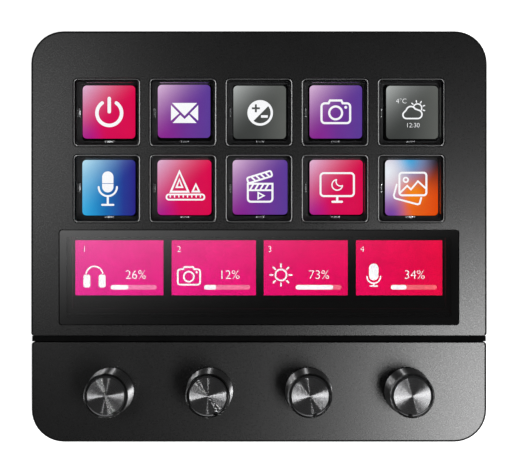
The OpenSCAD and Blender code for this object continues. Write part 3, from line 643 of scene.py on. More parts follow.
voice_sign = [[arc(0, 3.0, 1.62, 0, 180, 20) + [(-1.62, 1.22), (1.62, 1.22)]],
              [[(-1.62, 1.05), *arc(0, 0.2, 1.62, 180, 360, 20), (1.62, 1.05)]],
              line(arc(0, 0.14, 2.62, 180, 360, 28), 0.55), line([(0, -2.6), (0, -4.9)], 0.6),
              line([(-1.6, -5.0), (1.6, -5.0)], 0.56)]
drawing_sign = [line([(-1.28, 4.5), (-3.75, -1.35), (1.3, -1.35)], 0.56, True),
                line([(-1.28, 2.15), (-2.15, -0.05), (-0.42, -0.05)], 0.46, True),
                line([(3.45, 0.75), (2.5, -1.3), (4.4, -1.3)], 0.5, True),
                line(rounded(10.9, 1.5, 0.7, 0.45, -2.88), 0.46, True),
                *[line([(-3.9 + 1.24 * k, -2.45), (-3.9 + 1.24 * k, -2.85)], 0.36) for k in range(8)]]
board_body = [(-3.48, 0.8), (3.6, 0.8), *arc(2.7, -3.45, 0.9, 0, -90, 6), *arc(-2.58, -3.45, 0.9, -90, -180, 6)]
lid_at = (-0.1, 2.75, 17)
clapper_sign = [line(board_body, 0.56, True), line([(-3.4, -1.05), (3.5, -1.05)], 0.5),
                line(moved(rounded(7.2, 1.6, 0.5), *lid_at), 0.52, True),
                line([(-0.5, -1.75), (-0.5, -3.5), (1.15, -2.62)], 0.42, True),
                *[line([(-2.75 + 1.45 * k, -0.75), (-2.0 + 1.45 * k, 0.5)], 0.5) for k in range(4)],
                *[line(moved([(-2.2 + 1.4 * k, 0.55), (-1.55 + 1.4 * k, -0.55)], *lid_at), 0.5) for k in range(4)]]
night_sign = [line(rounded(9.6, 6.6, 0.95, 0, 0.58), 0.55, True), line(arc(0, 0.5, 1.52, 98, 352, 30), 0.34),
              line(arc(0.955, 1.454, 1.286, 295.3, 154.9, 22), 0.34),
              [[(-0.32, -2.9), (0.32, -2.9), (0.32, -4.2), (-0.32, -4.2)]], line([(-1.35, -4.35), (1.35, -4.35)], 0.62)]
behind = [(-4.6, 0.85), (-5.45, -2.3), (-5.2, -2.98), (-4.8, -3.2), (1.4, -4.85), (2.0, -4.6), (2.45, -3.0)]
album_sign = [line(rounded(7.75, 6.5, 0.8, 0.05, 1.0), 0.56, True), line(circle(-1.98, 2.2, 0.66, 20), 0.48, True),
              line([(-3.6, -1.5), (-1.6, 0.5), (-0.5, -0.55), (1.5, 1.8), (3.8, -0.3)], 0.5), line(behind, 0.52)]
signs = [power_sign, letter_sign, plus_minus_sign, camera_sign(), weather_sign,
         voice_sign, drawing_sign, clapper_sign, night_sign, album_sign]
print("signs drawn:", len(signs))

# %% [markdown]
# The ten key pictures sit a hair to the right of their keys, because the contact clips take the room on the left
# and in front. Signs and picture are one piece, with a material slot for each, and ride on the housing: the caps
# move over them.

# %% Key pictures
key_finish = [lit_crimson, lit_purple, lit_grey, lit_purple, lit_grey,
              lit_blue, lit_crimson, lit_purple, lit_crimson, lit_sunset]
picture_at = [(0.07, 0.59), (0.06, 0.79), (0.2, 0.52), (0.49, 0.62), (0.94, 0.49),
              (-0.28, 0.5), (-0.01, 0.62), (0.27, 0.76), (0.89, 0.74), (1.0, 0.49)]
window_l, window_r, window_low, window_high = -7.58, 8.27, -7.73, 8.42
picture_r = 1.15
for i, ((kx, ky), (dx, dy), sign, finish) in enumerate(zip(key_at, picture_at, signs, key_finish), 1):
    x, y = kx + dx, ky + dy
    wide, long = (15.1, 15.25) if i <= 5 else (15.85, 16.1)
    left, right = max(dx - wide / 2, window_l) + kx, min(dx + wide / 2, window_r) + kx
    low, high = max(dy - long / 2, window_low) + ky, min(dy + long / 2, window_high) + ky
    bm = bmesh.new()
    outline = rounded(right - left, high - low, picture_r, (left + right) / 2, (low + high) / 2)
    plate(bm, [outline], picture_low, picture_top)
    for loops in sign:
        plate(bm, [moved(loop, x, y) for loop in loops], sign_foot, sign_top, 1)
    if i == 5:
        lettering(bm, "4°C", 1.35, x - 3.2, y + 3.2)
        lettering(bm, "12:30", 1.25, x + 0.1, y - 3.75)
    chart_uv(bm, (left, low, right, high))
    make_piece(f"picture_{i}", bm, "chassis", [finish, lit_white], "panel_glass")
print("key pictures made")

# %% [markdown]
# Under the strip glass the display shows four wide panels, one for each knob: a plain number, a sign, a value and a
# bar that is filled as far as the value says. The panels share one slow gradient, so their UV map covers the strip.

# %% Strip pictures
strip_l, strip_low, strip_r, strip_high = strip_box = (-52.8, -16.9, 52.7, -1.1)
bar_y, bar_h, bar_r, bar_under = -14.6, 1.3, 0.6, 0.015
number_y, number_h, value_y, value_h = -3.7, 1.7, -11.1, 2.5
headphones = [line(arc(-47.32, -11.0, 2.4, 10, 170, 20), 0.42),
              [rounded(1.95, 3.7, 0.6, -49.5, -12.8)], [rounded(1.95, 3.7, 0.6, -45.1, -12.8)]]
small_camera = [[moved(loop, -20.15, -11.35) for loop in loops] for loops in camera_sign(0.78, 0.46)]
sun = [line(circle(6.31, -11.07, 1.6, 32), 0.46, True),
       *rays(6.31, -11.07, 2.35, 3.1, [k * pi / 4 for k in range(8)], 0.46)]
small_voice = [[rounded(2.7, 4.8, 1.3, 33.0, -10.2)], line([(32.0, -14.25), (34.0, -14.25)], 0.4),
               line([(33.0, -13.5), (33.0, -14.1)], 0.4), line(arc(33.0, -11.5, 1.95, 180, 360, 20), 0.4)]
# each row: left and right end, value, how far its bar is filled, middle of number and value, ends of the bar, sign
strip_rows = [(strip_l, -27.5, 26, 0.385, -50.2, -35.45, -42.63, -29.42, headphones),
              (-25.1, -0.9, 12, 0.26, -23.0, -8.52, -15.77, -2.56, small_camera),
              (1.37, 25.5, 73, 0.82, 3.1, 17.25, 10.58, 23.68, sun),
              (27.9, strip_r, 34, 0.34, 29.7, 44.72, 37.92, 51.13, small_voice)]
for i, (left, right, value, filled, number_x, value_x, bar_from, bar_to, sign) in enumerate(strip_rows, 1):
    bm = bmesh.new()
    corners = [(left, strip_low), (right, strip_low), (right, strip_high), (left, strip_high)]
    plate(bm, [corners], picture_low, picture_top)
    for loops in sign:
        plate(bm, loops, sign_foot, sign_top, 1)
    lettering(bm, str(i), number_h, number_x, number_y)
    lettering(bm, f"{value}%", value_h, value_x, value_y)
    bar_fill = bar_from + (bar_to - bar_from) * filled
    for end, foot, top, slot in ((bar_to, sign_foot, sign_top - bar_under, 2),
                                 (bar_fill, sign_top - bar_under - 0.005, sign_top, 1)):
        plate(bm, [rounded(end - bar_from, bar_h, bar_r, (bar_from + end) / 2, bar_y)], foot, top, slot)
    chart_uv(bm, strip_box)
    make_piece(f"strip_picture_{i}", bm, "chassis", [lit_strip, strip_white, strip_pale], "panel_glass")
print("strip pictures made:", len(strip_rows))

# %% [markdown]
# A key cap is a clear lens on thin walls, with a flange that keeps it under the deck. Its section changes only in
# size from step to step, so it is a loft: one ring of points per height, joined ring by ring, closed at the top of
# the lens and inside its hollow. The bevel between wall and top gets the frosted finish.
# The strip glass is a loft too: one pane, flush in the deck. Makers print a black border on its underside to hide the
# glue on the ledge. Here the pane is cut into a clear window and a border in its mesh, so each gets its own finish.

# %% Clear key caps and strip pane
def ring(w, l, r, z, x=0.0, y=0.0, steps=6):
    return [(px + x, py + y, z) for px, py in rounded(w, l, r, 0, 0, steps)]


def loft(bm, rings, slots):
    rows = [[bm.verts.new(p) for p in points] for points in rings]
    for k, slot in enumerate(slots):
        for j in range(len(rows[k])):
            n = (j + 1) % len(rows[k])
            bm.faces.new((rows[k][j], rows[k][n], rows[k + 1][n], rows[k + 1][j])).material_index = slot
    bm.faces.new(rows[0][::-1])
    bm.faces.new(rows[-1])
    bmesh.ops.recalc_face_normals(bm, faces=bm.faces)


cap_rings = [(17, 17.3, 0.35, -0.7), (17, 17.3, 0.35, -3.15), (20.6, 20.9, 2.15, -3.15), (20.6, 20.9, 2.15, -2.15),
             (19, 19.3, 1.35, -2.15), (19, 19.3, 1.35, 0.33), (18.97, 19.27, 1.34, 0.39), (18.88, 19.18, 1.29, 0.425),
             (18.42, 18.72, 1.06, 0.487), (18.22, 18.52, 0.96, 0.5)]
cap_slots = [0] * 5 + [1] * 4
for i, (x, y) in enumerate(key_at, 1):
    bm = bmesh.new()
    loft(bm, [ring(*size, x, y) for size in cap_rings], cap_slots)
    make_piece(f"cap_{i}", bm, f"key_{i}", [clear_cap, cut_edge], "clear_plastic",
               replaces=[f"key_cap_{i}"], smooth=50, even=True)

pane_w, pane_l, pane_t, pane_ease = 113.4, 26.9, 1.1, 0.12
window_size, eased_size = (109.2, 22.7, 0.6), (pane_w - 2 * pane_ease, pane_l - 2 * pane_ease, 0.7)
pane_rings = [(*window_size, 0.0), (*eased_size, 0.0), (pane_w, pane_l, 0.8, -pane_ease),
              (pane_w, pane_l, 0.8, -pane_t + pane_ease), (*eased_size, -pane_t), (*window_size, -pane_t)]
bm = bmesh.new()
loft(bm, [ring(*size, 0.0, strip_y) for size in pane_rings], [1] * 5)
make_piece("strip_pane", bm, "chassis", [clear_pane, pane_border], "dark_glass", replaces=["strip_glass"], smooth=30)
print("caps made:", len(key_at), "and one pane")

# %% [markdown]
# A knob has a glossy body and a disc of turned metal in its top. The body is a softened skin of the solid. The disc
# is built as a wheel of narrow wedges from the middle to the rim, because its UV map has to run along the radius.
# Where the pointer notch is cut, the wedges simply stop short.

# %% Knobs
disc_flat, slope_down, turn_over, hub_dip = 5.05, 0.33, 0.04, 0.03
notch_in, notch_half, notch_r = 4.9, 0.6, 5.3
knob_r = 6
disc_profile = [(r, disc_top) for r in (0.25, 1, 2, 3, 4, 4.6, disc_flat)]
disc_profile += [(disc_r - turn_over, disc_top - slope_down), (disc_r, disc_top - slope_down - turn_over),
                 (disc_r, disc_low)]


def spokes(notch, count=120, clear_by=1, apart=0.02):
    """Angles round the disc, with a pair close together at each side of the notch."""
    wide = degrees(atan2(notch_half, notch_r))

    def off(a):
        return abs((a + 180) % 360 - 180)

    even = [360 * k / count for k in range(count)]
    angles = [(a, off(a) < wide) for a in even if abs(off(a) - wide) > clear_by]
    for s in (-1, 1):
        angles += [((s * (wide - apart)) % 360, True), ((s * (wide + apart)) % 360, False)]
    return [(radians(a + notch), cut) for a, cut in sorted(angles)]


def turned_disc(i, x, y, notch):
    bm = bmesh.new()
    layer = bm.loops.layers.uv.new("radius and angle")
    angles = spokes(notch)
    rows = [[bm.verts.new((x + reach * cos(a), y + reach * sin(a), z))
             for reach, z in ((min(r, notch_in) if cut else r, z) for r, z in disc_profile)] for a, cut in angles]
    hub = bm.verts.new((x, y, disc_top - hub_dip))

    def facet(corners, spots, slot=0):
        f = bm.faces.new(corners)
        f.material_index = slot
        for loop, (r, a) in zip(f.loops, spots):
            loop[layer].uv = (r / disc_r, a / (2 * pi))

    for k, row in enumerate(rows):
        after = rows[(k + 1) % len(rows)]
        a0, a1 = angles[k][0], angles[(k + 1) % len(rows)][0]
        a1 = a1 + 2 * pi if a1 < a0 else a1
        for j, ((r0, _), (r1, z1)) in enumerate(zip(disc_profile, disc_profile[1:])):
            facet((row[j], row[j + 1], after[j + 1], after[j]), ((r0, a0), (r1, a0), (r1, a1), (r0, a1)),
                  0 if z1 == disc_top else 1)
        facet((hub, row[0], after[0]), ((0, a0), (disc_profile[0][0], a0), (disc_profile[0][0], a1)))
    bm.faces.new([row[-1] for row in rows][::-1]).material_index = 1
    return make_piece(f"disc_{i}", bm, f"knob_{i}", [disc_spun, disc_edge], "disc_metal",
                      replaces=[f"knob_disc_{i}"], smooth=30)


def chart_knob(piece, x, y):
    """A UV map whose first direction runs up the wall and in over the top, and whose second one runs round."""
    layer = piece.data.uv_layers.new(name="height and angle")
    for loop in piece.data.loops:
        p = unseat @ piece.data.vertices[loop.vertex_index].co
        dx, dy = p.x - x, p.y - y
        layer.data[loop.index].uv = (p.z - hypot(dx, dy), knob_r * atan2(dy, dx))


for i, ((x, y), notch) in enumerate(zip(knob_at, pointer_at), 1):
    chart_knob(skin(f"knob_body_{i}", f"knob_skin_{i}", knob_turned, "knob_plastic", 0.12, 25), x, y)
    disc = turned_disc(i, x, y, notch)
print("discs made, each of", len(disc.data.polygons), "faces")

# %% [markdown]
# What repeats is left to Geometry Nodes: one clip, one screw, one rib, placed on many points. A tree has named
# inputs for its sizes, ends by making real geometry of its instances, and is then turned into a plain mesh. These
# helpers wire nodes together and bake the result.

# %% Helpers: geometry node trees
def new_tree(name, *sizes):
    """A tree, its points, its end and the outputs that give its sizes."""
    tree = bpy.data.node_groups.new(name, "GeometryNodeTree")
    for way in ("INPUT", "OUTPUT"):
        tree.interface.new_socket("Geometry", in_out=way, socket_type="NodeSocketGeometry")
    for label in sizes:
        tree.interface.new_socket(label, in_out="INPUT", socket_type="NodeSocketFloat")
    given = tree.nodes.new("NodeGroupInput")
    return (tree, given.outputs["Geometry"], tree.nodes.new("NodeGroupOutput"), *[given.outputs[n] for n in sizes])


def times(tree, value, factor):
    return calc(tree, value, "MULTIPLY", factor)


def vector(tree, x=0.0, y=0.0, z=0.0):
    return add(tree, "ShaderNodeCombineXYZ", {"X": x, "Y": y, "Z": z}).outputs[0]


def rod(tree, vertices, radius, depth):
    return add(tree, "GeometryNodeMeshCylinder", {
        "Vertices": vertices, "Radius": radius, "Depth": depth}).outputs["Mesh"]


def bar(tree, x, y, z):
    return add(tree, "GeometryNodeMeshCube", {"Size": vector(tree, x, y, z)}).outputs["Mesh"]


def shifted(tree, geometry, x=0.0, y=0.0, z=0.0, turn=(0, 0, 0)):
    return add(tree, "GeometryNodeTransform", {
        "Geometry": geometry, "Translation": vector(tree, x, y, z), "Rotation": turn}).outputs["Geometry"]


def joined(tree, *parts):
    whole = add(tree, "GeometryNodeJoinGeometry")
    for part in parts:
        tree.links.new(part, whole.inputs["Geometry"])
    return whole.outputs["Geometry"]


def set_on(tree, points, instance, turn=(0, 0, 0)):
    return add(tree, "GeometryNodeInstanceOnPoints", {
        "Points": points, "Instance": instance, "Rotation": turn}).outputs["Instances"]


def finish_tree(tree, output, geometry, material):
    real = add(tree, "GeometryNodeRealizeInstances", {"Geometry": geometry})
    dressed = add(tree, "GeometryNodeSetMaterial", {"Geometry": real.outputs["Geometry"], "Material": material})
    tree.links.new(dressed.outputs["Geometry"], output.inputs["Geometry"])
    return tree


def grown(name, tree, sizes, points, place, turns=None):
    """The mesh that a tree grows on some points with its named sizes, moved to its place."""
    seed = bpy.data.meshes.new(name + " points")
    seed.from_pydata(points, [], [])
    if turns:
        seed.attributes.new("turn", "FLOAT", "POINT").data.foreach_set("value", turns)
    holder = put(name + " points", seed)
    modifier = holder.modifiers.new("grow", "NODES")
    modifier.node_group = tree
    for item in tree.interface.items_tree:
        if item.in_out == "INPUT" and item.name in sizes:
            modifier[item.identifier] = sizes[item.name]
    mesh = mesh_of(holder)
    mesh.transform(place)
    return mesh


def place_grown(name, mesh, slot, *replaces):
    place_mesh(name, mesh, "chassis", slot, replaces, 35)
    print(name, len(mesh.polygons), "faces")

# %% [markdown]
# Beside each window in the key mat stand two pressed metal clips, one on the left and one in front. A clip is a
# small bar with two rounded prongs. A bar and two short rollers make it, and the tree sets one on each of 20 points.

# %% Contact clips
def clip_tree():
    tree, points, result, length, width, height = new_tree("clips", "Length", "Width", "Height")
    foot = shifted(tree, bar(tree, length, width, times(tree, height, 0.4)), z=times(tree, height, 0.2))
    radius = times(tree, length, 0.125)
    roller = rod(tree, 20, radius, width)
    shift = times(tree, length, 0.36)
    lift = calc(tree, height, "SUBTRACT", radius)
    prongs = [shifted(tree, roller, times(tree, shift, s), 0.0, lift, (pi / 2, 0, 0)) for s in (-1.0, 1.0)]
    turn = add(tree, "GeometryNodeInputNamedAttribute", {"Name": "turn"}, data_type="FLOAT").outputs["Attribute"]
    clips = set_on(tree, points, joined(tree, foot, *prongs), vector(tree, z=turn))
    return finish_tree(tree, result, clips, clip_metal)


side_x, front_y, along_clip, clip_z = -8.2, -7.99, 0.35, -4.5
clip_points = [(x + side_x, y + along_clip, clip_z) for x, y in key_at]
clip_points += [(x + along_clip, y + front_y, clip_z) for x, y in key_at]
clips = grown("clips", clip_tree(), {"Length": 2.8, "Width": 0.45, "Height": 0.8}, clip_points, seat,
              [pi / 2] * 10 + [0.0] * 10)
place_grown("clips", clips, "clip_metal", "contact_clips")

# %% [markdown]
# All screws are one shape at three sizes: a flat round head with an eased edge and a six-sided socket, on a plain
# shank. The tree draws the head in by an extrusion of its top face, cuts the socket by a boolean, and sets the screw
# on every point, head outwards.

# %% Screws
def screw_tree():
    tree, points, result, shank, head, head_h, length = new_tree("screws", "Shank", "Head", "Head height", "Length")
    ease = 0.2
    low_h = calc(tree, head_h, "SUBTRACT", ease)
    drum = rod(tree, 32, times(tree, head, 0.5), low_h)
    normal = add(tree, "GeometryNodeInputNormal").outputs["Normal"]
    is_top = add(tree, "FunctionNodeCompare", {"A": parts(tree, normal)["Z"], "B": 0.5},
                 data_type="FLOAT", operation="GREATER_THAN")
    eased = add(tree, "GeometryNodeExtrudeMesh", {
        "Mesh": drum, "Selection": is_top.outputs["Result"], "Offset Scale": ease, "Individual": False}, mode="FACES")
    drawn = add(tree, "GeometryNodeScaleElements", {
        "Geometry": eased.outputs["Mesh"], "Selection": eased.outputs["Top"], "Scale": 0.9}, domain="FACE")
    head_in = shifted(tree, drawn.outputs["Geometry"], z=calc(tree, times(tree, low_h, -0.5), "SUBTRACT", ease))
    socket = rod(tree, 6, times(tree, shank, 0.42), head_h)
    cut = add(tree, "GeometryNodeMeshBoolean", {"Mesh 1": head_in, "Mesh 2": socket},
              operation="DIFFERENCE", solver="EXACT")
    shank_rod = rod(tree, 20, times(tree, shank, 0.5), length)
    shank_in = shifted(tree, shank_rod, z=calc(tree, times(tree, length, -0.5), "SUBTRACT", head_h))
    screw = joined(tree, cut.outputs["Mesh"], shank_in)
    return finish_tree(tree, result, set_on(tree, points, screw, (pi, 0, 0)), screw_zinc)


def screw_size(shank, head, head_h, length):
    return {"Shank": shank, "Head": head, "Head height": head_h, "Length": length}


screws = screw_tree()
boss_x, body_t, board_top, knob_board_top, sunk = 60.85, 18.66, -14.46, -7.0, 0.3
case_at = [(s * boss_x, y) for s in (-1, 1) for y in (49.15, -24.3)] + [(s * (boss_x - 0.13), knob_y) for s in (-1, 1)]
stand_at = [(s * 46, y) for s in (-1, 1) for y in (-30.35, 30.35)]
board_at = [(s * 38, y, board_top) for s in (-1, 1) for y in (1.35, 51.35)]
board_at += [(x, knob_y, knob_board_top) for x in (-49.925, 0, 49.925)]
post_at = [(s * 45.8, y, 1.2) for s in (-1, 1) for y in (-36.44, 42.8221)]
half_turn = Matrix.Rotation(pi, 4, "X")
stand_wall, head_h, small_head_h = 2.4, 1.2, 0.8

case_set = grown("case screws", screws, screw_size(2.2, 4, head_h, 12.16),
                 [(x, y, -body_t + sunk) for x, y in case_at], seat)
stand_set = grown("stand screws", screws, screw_size(2.2, 4, head_h, 7.2),
                  [(x, y, -body_t - stand_wall - head_h) for x, y in stand_at], seat)
board_set = grown("board screws", screws, screw_size(1.6, 3, small_head_h, 3.1),
                  [(x, -y, -z - small_head_h) for x, y, z in board_at], seat @ half_turn)
plate_set = grown("plate screws", screws, screw_size(1.6, 3, small_head_h, 4.8), post_at, upright)
both = bmesh.new()
both.from_mesh(board_set)
both.from_mesh(plate_set)
both.to_mesh(board_set)
both.free()
for name, mesh in (("case_screw", case_set), ("stand_screw", stand_set), ("small_screw", board_set)):
    place_grown(name + "_set", mesh, "screw_steel", name + "s")

# %% [markdown]
# The grip strips under the stand are rubber mouldings with cross ribs that hold the desk. The pad between the ribs is
# a loft of two stadium outlines, and the ribs are short rods laid across it, set along a line by the tree.

# %% Grip strips
def rib_tree():
    tree, points, result, length, pitch, rib, reach = new_tree("ribs", "Length", "Pitch", "Rib", "Reach")
    count = calc(tree, calc(tree, calc(tree, length, "DIVIDE", pitch), "FLOOR"), "ADD", 1.0)
    row = add(tree, "GeometryNodeMeshLine", {"Count": count, "Offset": vector(tree, pitch)}).outputs["Mesh"]
    laid = shifted(tree, rod(tree, 12, rib, reach), turn=(pi / 2, 0, 0))
    centred = shifted(tree, set_on(tree, row, laid), times(tree, length, -0.5))
    return finish_tree(tree, result, set_on(tree, points, centred), grip_rubber)


grip_at = [-35.64, 42.0221]
grip_rings = ((71.6, 6.6, 0.36), (72, 7, 0.56), (72, 7, 1.2))
bm = bmesh.new()
bm.from_mesh(grown("ribs", rib_tree(), {"Length": 66.0, "Pitch": 1.5, "Rib": 0.4, "Reach": 5.6},
                   [(0, y, 0.4) for y in grip_at], Matrix.Identity(4)))
for y in grip_at:
    loft(bm, [ring(w, l, l / 2 - 0.02, z, 0.0, y, 16) for w, l, z in grip_rings], [0, 0])
make_piece("grip_pads", bm, "chassis", [grip_rubber], "grip_rubber", upright, replaces=["grip_strips"])
print("ribs laid on", len(grip_at), "strips")

# %% [markdown]
# In the mouth of the USB socket a dark tongue carries twelve gold fingers on either face. Twelve thin strips on a
# line are one small tree, run for the upper face and for the lower one.

# %% Socket fingers
def finger_tree():
    tree, points, result, count, pitch, width, length, thick = new_tree(
        "fingers", "Count", "Pitch", "Width", "Length", "Thickness")
    row = add(tree, "GeometryNodeMeshLine", {"Count": count, "Offset": vector(tree, pitch)}).outputs["Mesh"]
    laid = set_on(tree, row, bar(tree, width, length, thick))
    return finish_tree(tree, result, set_on(tree, points, laid), contact_gold)


usb_z, tongue_half = -12.83, 0.36
fingers = grown("fingers", finger_tree(),
                {"Count": 12.0, "Pitch": 0.5, "Width": 0.25, "Length": 3.6, "Thickness": 0.05},
                [(-2.75, 55.2, usb_z + s * tongue_half) for s in (-1, 1)], seat)
place_grown("socket_fingers", fingers, "sheet_metal")
skin("usb_socket", "socket_skin", sheet_metal, "sheet_metal", 0.05)

# %% [markdown]
# The pieces that stay as the CAD model made them get their finish here. Most are sealed inside and show only where
# a cover is taken off, but a part from a library can be opened, so none is left plain.

# %% Finishes on the CAD pieces
inner_finish = {"touch_film": clear_film, "display_gasket": foam_black, "key_mat": mat_silicone,
                "display_panel": panel_black, "backlight": white_moulding, "display_tray": sheet_metal,
                "main_board": board_green, "board_parts": chip_black, "knob_board": board_green,
                "ribbon_cable": ribbon_white, "push_domes": clip_metal}
for i in range(1, 5):
    inner_finish.update({f"encoder_case_{i}": case_steel, f"bushing_{i}": bushing_brass,
                         f"detent_wheel_{i}": white_moulding, f"shaft_{i}": shaft_steel})
for node, finish in inner_finish.items():
    mesh = nodes[node].data
    mesh.materials.clear()
    mesh.materials.append(finish)
left_plain = [n for n, o in nodes.items() if n not in inner_finish and not o.hide_render]
print("finished:", len(inner_finish), "left plain:", left_plain)

# %% [markdown]
# The studio is plain: a pale floor, a big soft lamp at the right in front and a weaker one at the left. Camera rays
# see a white world. Four dark cloths and a ceiling of cloth stand round it, which only reflections see: they keep the
# white out of what shines. A card over the strip glass gives it the light that it mirrors.

# %% Studio and camera
eye = 362
camera = put("camera", bpy.data.cameras.new("camera"))
camera.data.sensor_width = 36
camera.data.lens = 88.66
camera.data.clip_end = 20
camera.matrix_world = face @ Matrix.Translation((0, 0, eye * mm))
scene.camera = camera
scene.view_settings.view_transform = "Standard"
world = bpy.data.worlds.new("studio")
scene.world = world
world.use_nodes = True
sky = world.node_tree
path = add(sky, "ShaderNodeLightPath").outputs
seen = calc(sky, path["Is Camera Ray"], "ADD", path["Is Glossy Ray"])
seen = calc(sky, seen, "ADD", path["Is Transmission Ray"])
feed(sky, sky.nodes["Background"], {"Strength": between(sky, seen, 0, 1, 0.5, 1), "Color": (1, 1, 1, 1)})


def softbox(name, x, y, height, width, length, power):
    """A rectangular lamp that looks straight down on the face from a height above the deck."""
    lamp = bpy.data.lights.new(name, "AREA")
    lamp.shape, lamp.size, lamp.size_y = "RECTANGLE", width * mm, length * mm
    lamp.energy = power
    holder = put(name, lamp)
    start, end = face @ (Vector((x, y, height)) * mm), face @ (Vector((x, y, 0)) * mm)
    holder.matrix_world = Matrix.Translation(start) @ (start - end).to_track_quat("Z", "Y").to_matrix().to_4x4()
    holder.visible_camera = False
    return holder


def flat_card(name, w, l, place, material):
    bm = bmesh.new()
    bm.faces.new([bm.verts.new((x * w / 2, y * l / 2, 0)) for x, y in ((-1, -1), (1, -1), (1, 1), (-1, 1))])
    card = put(name, baked(name, bm, place, [material]))
    return card


def mirrored_card(name, w, l, place, material):
    """A card that only reflections see."""
    card = flat_card(name, w, l, place, material)
    card.visible_camera = card.visible_diffuse = card.visible_shadow = False
    card.visible_transmission = card.visible_volume_scatter = False
    return card


def floor_material():
    """Pale matt floor that reads as white to the camera and still takes the shadow."""
    material, tree, shader = blank("floor pale")
    path = add(tree, "ShaderNodeLightPath").outputs
    bounced = calc(tree, path["Is Glossy Ray"], "ADD", path["Is Transmission Ray"])
    lift = calc(tree, times(tree, path["Is Camera Ray"], 0.7), "ADD", times(tree, bounced, 0.1))
    feed(tree, shader, {
        "Base Color": tint(tree, noise(tree, 60), (0.8, 0.8, 0.8), (0.82, 0.82, 0.82)), "Roughness": 0.8,
        "Specular IOR Level": 0.0, "Emission Strength": lift, "Emission Color": (1, 1, 1, 1)})
    return material


def glowing(name, strength):
    """A card's light. Its strength is a number, or a function that builds it in the tree."""
    material, tree, shader = blank(name)
    tree.nodes.remove(shader)
    level = strength(tree) if callable(strength) else strength
    show(tree, add(tree, "ShaderNodeEmission", {"Strength": level}).outputs["Emission"])
    return material


card_height, card_w, card_l = 800, 124, 38
mirror = (eye + card_height) / eye
dimmer_right, brighter_up, middle_tone = 0.705 / 255, 2.537 / 255, 50 / 255
brightest, least = 9.4, 0.055


def glass_level(tree):
    """Brightest in the upper left corner of the strip glass, and even and dark from its middle to the right."""
    spot = parts(tree, sheet_place(tree, (1 / (mm * mirror),) * 3))
    across, along = times(tree, spot["X"], -dimmer_right), times(tree, spot["Y"], brighter_up)
    tone = calc(tree, calc(tree, across, "ADD", along), "ADD", middle_tone)
    level = calc(tree, calc(tree, tone, "MAXIMUM"), "POWER", gamma)
    return calc(tree, times(tree, level, brightest), "ADD", least)


key_lamp = softbox("key lamp", 164.3, -169.3, 430, 115.5, 286, 2.16)
left_lamp = softbox("left lamp", -188, 56, 430, 175, 149, 0.258)
floor_size, room, room_h, cloth_level = 6, 2.6, 1.25, 0.03
flat_card("floor", floor_size, floor_size, Matrix.Identity(4), floor_material())
dark_cloth = glowing("dark cloth", cloth_level)
mirrored_card("ceiling", room, room, Matrix.Translation((0, 0, room_h)), dark_cloth)
for k in range(4):
    out = Matrix.Translation((0, room / 2, room_h / 2)) @ Matrix.Rotation(pi / 2, 4, "X")
    mirrored_card(f"wall_{k}", room, room_h, Matrix.Rotation(k * pi / 2, 4, "Z") @ out, dark_cloth)
card_place = face @ Matrix.Translation((0, strip_y * mirror * mm, card_height * mm))
glass_card = mirrored_card("glass_card", card_w * mirror * mm, card_l * mirror * mm, card_place,
                           glowing("card over the glass", glass_level))
print("camera stands at", [round(v, 3) for v in camera.matrix_world.translation])

# %% [markdown]
# A pane of glass mirrors a lamp sharply, which would hide the display. In a studio, a flag is held before it.
# Light linking does the same: the two lamps leave out the glass and what lies under it, the caps, the knobs and the
# rib in the groove. Instead, high cards round the keypad draw lines of light on the rims of the caps, and small lamps
# that light the knobs alone draw the thin spokes on their discs. A lamp that a disc mirrors is placed by the spot
# where the camera sees it in the disc: a higher lamp has to stand further out to be seen in the same spot.

# %% Flags, rim cards and small lamps
def linked(name, pieces, state):
    group = bpy.data.collections.new(name)
    for piece in pieces:
        group.objects.link(bpy.data.objects[piece])
    for entry in group.collection_objects:
        entry.light_linking.link_state = state
    return group


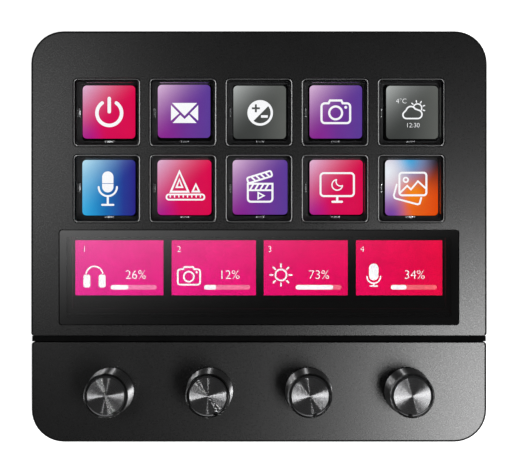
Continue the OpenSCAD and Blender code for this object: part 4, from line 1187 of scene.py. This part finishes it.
under_glass = ["strip_pane", "touch_film", "display_panel", "display_gasket", "display_tray", "backlight",
               *[f"strip_picture_{i}" for i in range(1, 5)]]
knob_pieces = [f"{kind}_{i}" for kind in ("disc", "knob_skin") for i in range(1, 5)]
cap_pieces = [f"cap_{i}" for i in range(1, 11)]
flagged = linked("flagged from the lamps", [*under_glass, "frame_skin", *knob_pieces, *cap_pieces], "EXCLUDE")
key_lamp.light_linking.receiver_collection = left_lamp.light_linking.receiver_collection = flagged
knobs_only, caps_only = linked("knobs only", knob_pieces, "INCLUDE"), linked("caps only", cap_pieces, "INCLUDE")
glass_card.light_linking.receiver_collection = linked("glass only", ["strip_pane"], "INCLUDE")

rim_card_h, rim_card_z = 270, 565
rim_cards = [("right", 0, 500, 8.0, 300), ("left", 180, 500, 6.2, 300), ("rear", 90, 500, 2.2, 300),
             ("front", -90, 500, 0.8, 300), *[(f"corner_{k}", 45 + 90 * k, 220, 14.0, 420) for k in range(4)]]
for side, bearing, wide, strength, out in rim_cards:
    a = radians(bearing)
    turn = Matrix.Rotation(a, 4, "Z") @ Matrix.Rotation(pi / 2, 4, "Y")
    place = face @ Matrix.Translation((out * mm * cos(a), out * mm * sin(a), rim_card_z * mm)) @ turn
    name = f"rim_card_{side}"
    card = mirrored_card(name, rim_card_h * mm, wide * mm, place, glowing(name, strength))
    card.light_linking.receiver_collection = caps_only

disc_z, slim = 13, 50
second_x, second_y = knob_at[1]
for name, spot, height, wide, long, radiance in (
        ("knob lamp", (99, -36), 430, 136, 62, 25), ("knob lamp 2", (99, -63), 430, 136, 58, 15),
        ("knob lamp 3", (99, -105.5), 430, 136, 125, 4.5), ("knob sky", (0, 0), 440, 2400, 2400, 0.07),
        ("spoke lamp", (-10.6, 124), 400, 32, 90, 24), ("left spoke lamp 1", (-64, 37), 300, 9, 60, 44),
        ("left spoke lamp 2", (-80, 21), 300, 9, 60, 40), ("left spoke lamp 3", (-97, 5), 300, 40, 60, 2.5)):
    away = (eye - 2 * disc_z + height) / (eye - disc_z)
    lamp = softbox(name, spot[0] * away, spot[1] * away, height, wide, long, radiance * pi * wide * long * mm * mm)
    if wide < slim:
        turn = atan2(second_x - spot[0], spot[1] - second_y)
        lamp.matrix_world = lamp.matrix_world @ Matrix.Rotation(turn, 4, "Z")
    lamp.light_linking.receiver_collection = knobs_only
print("linked:", len(under_glass), "pieces under glass,", len(knob_pieces), "pieces of knobs")
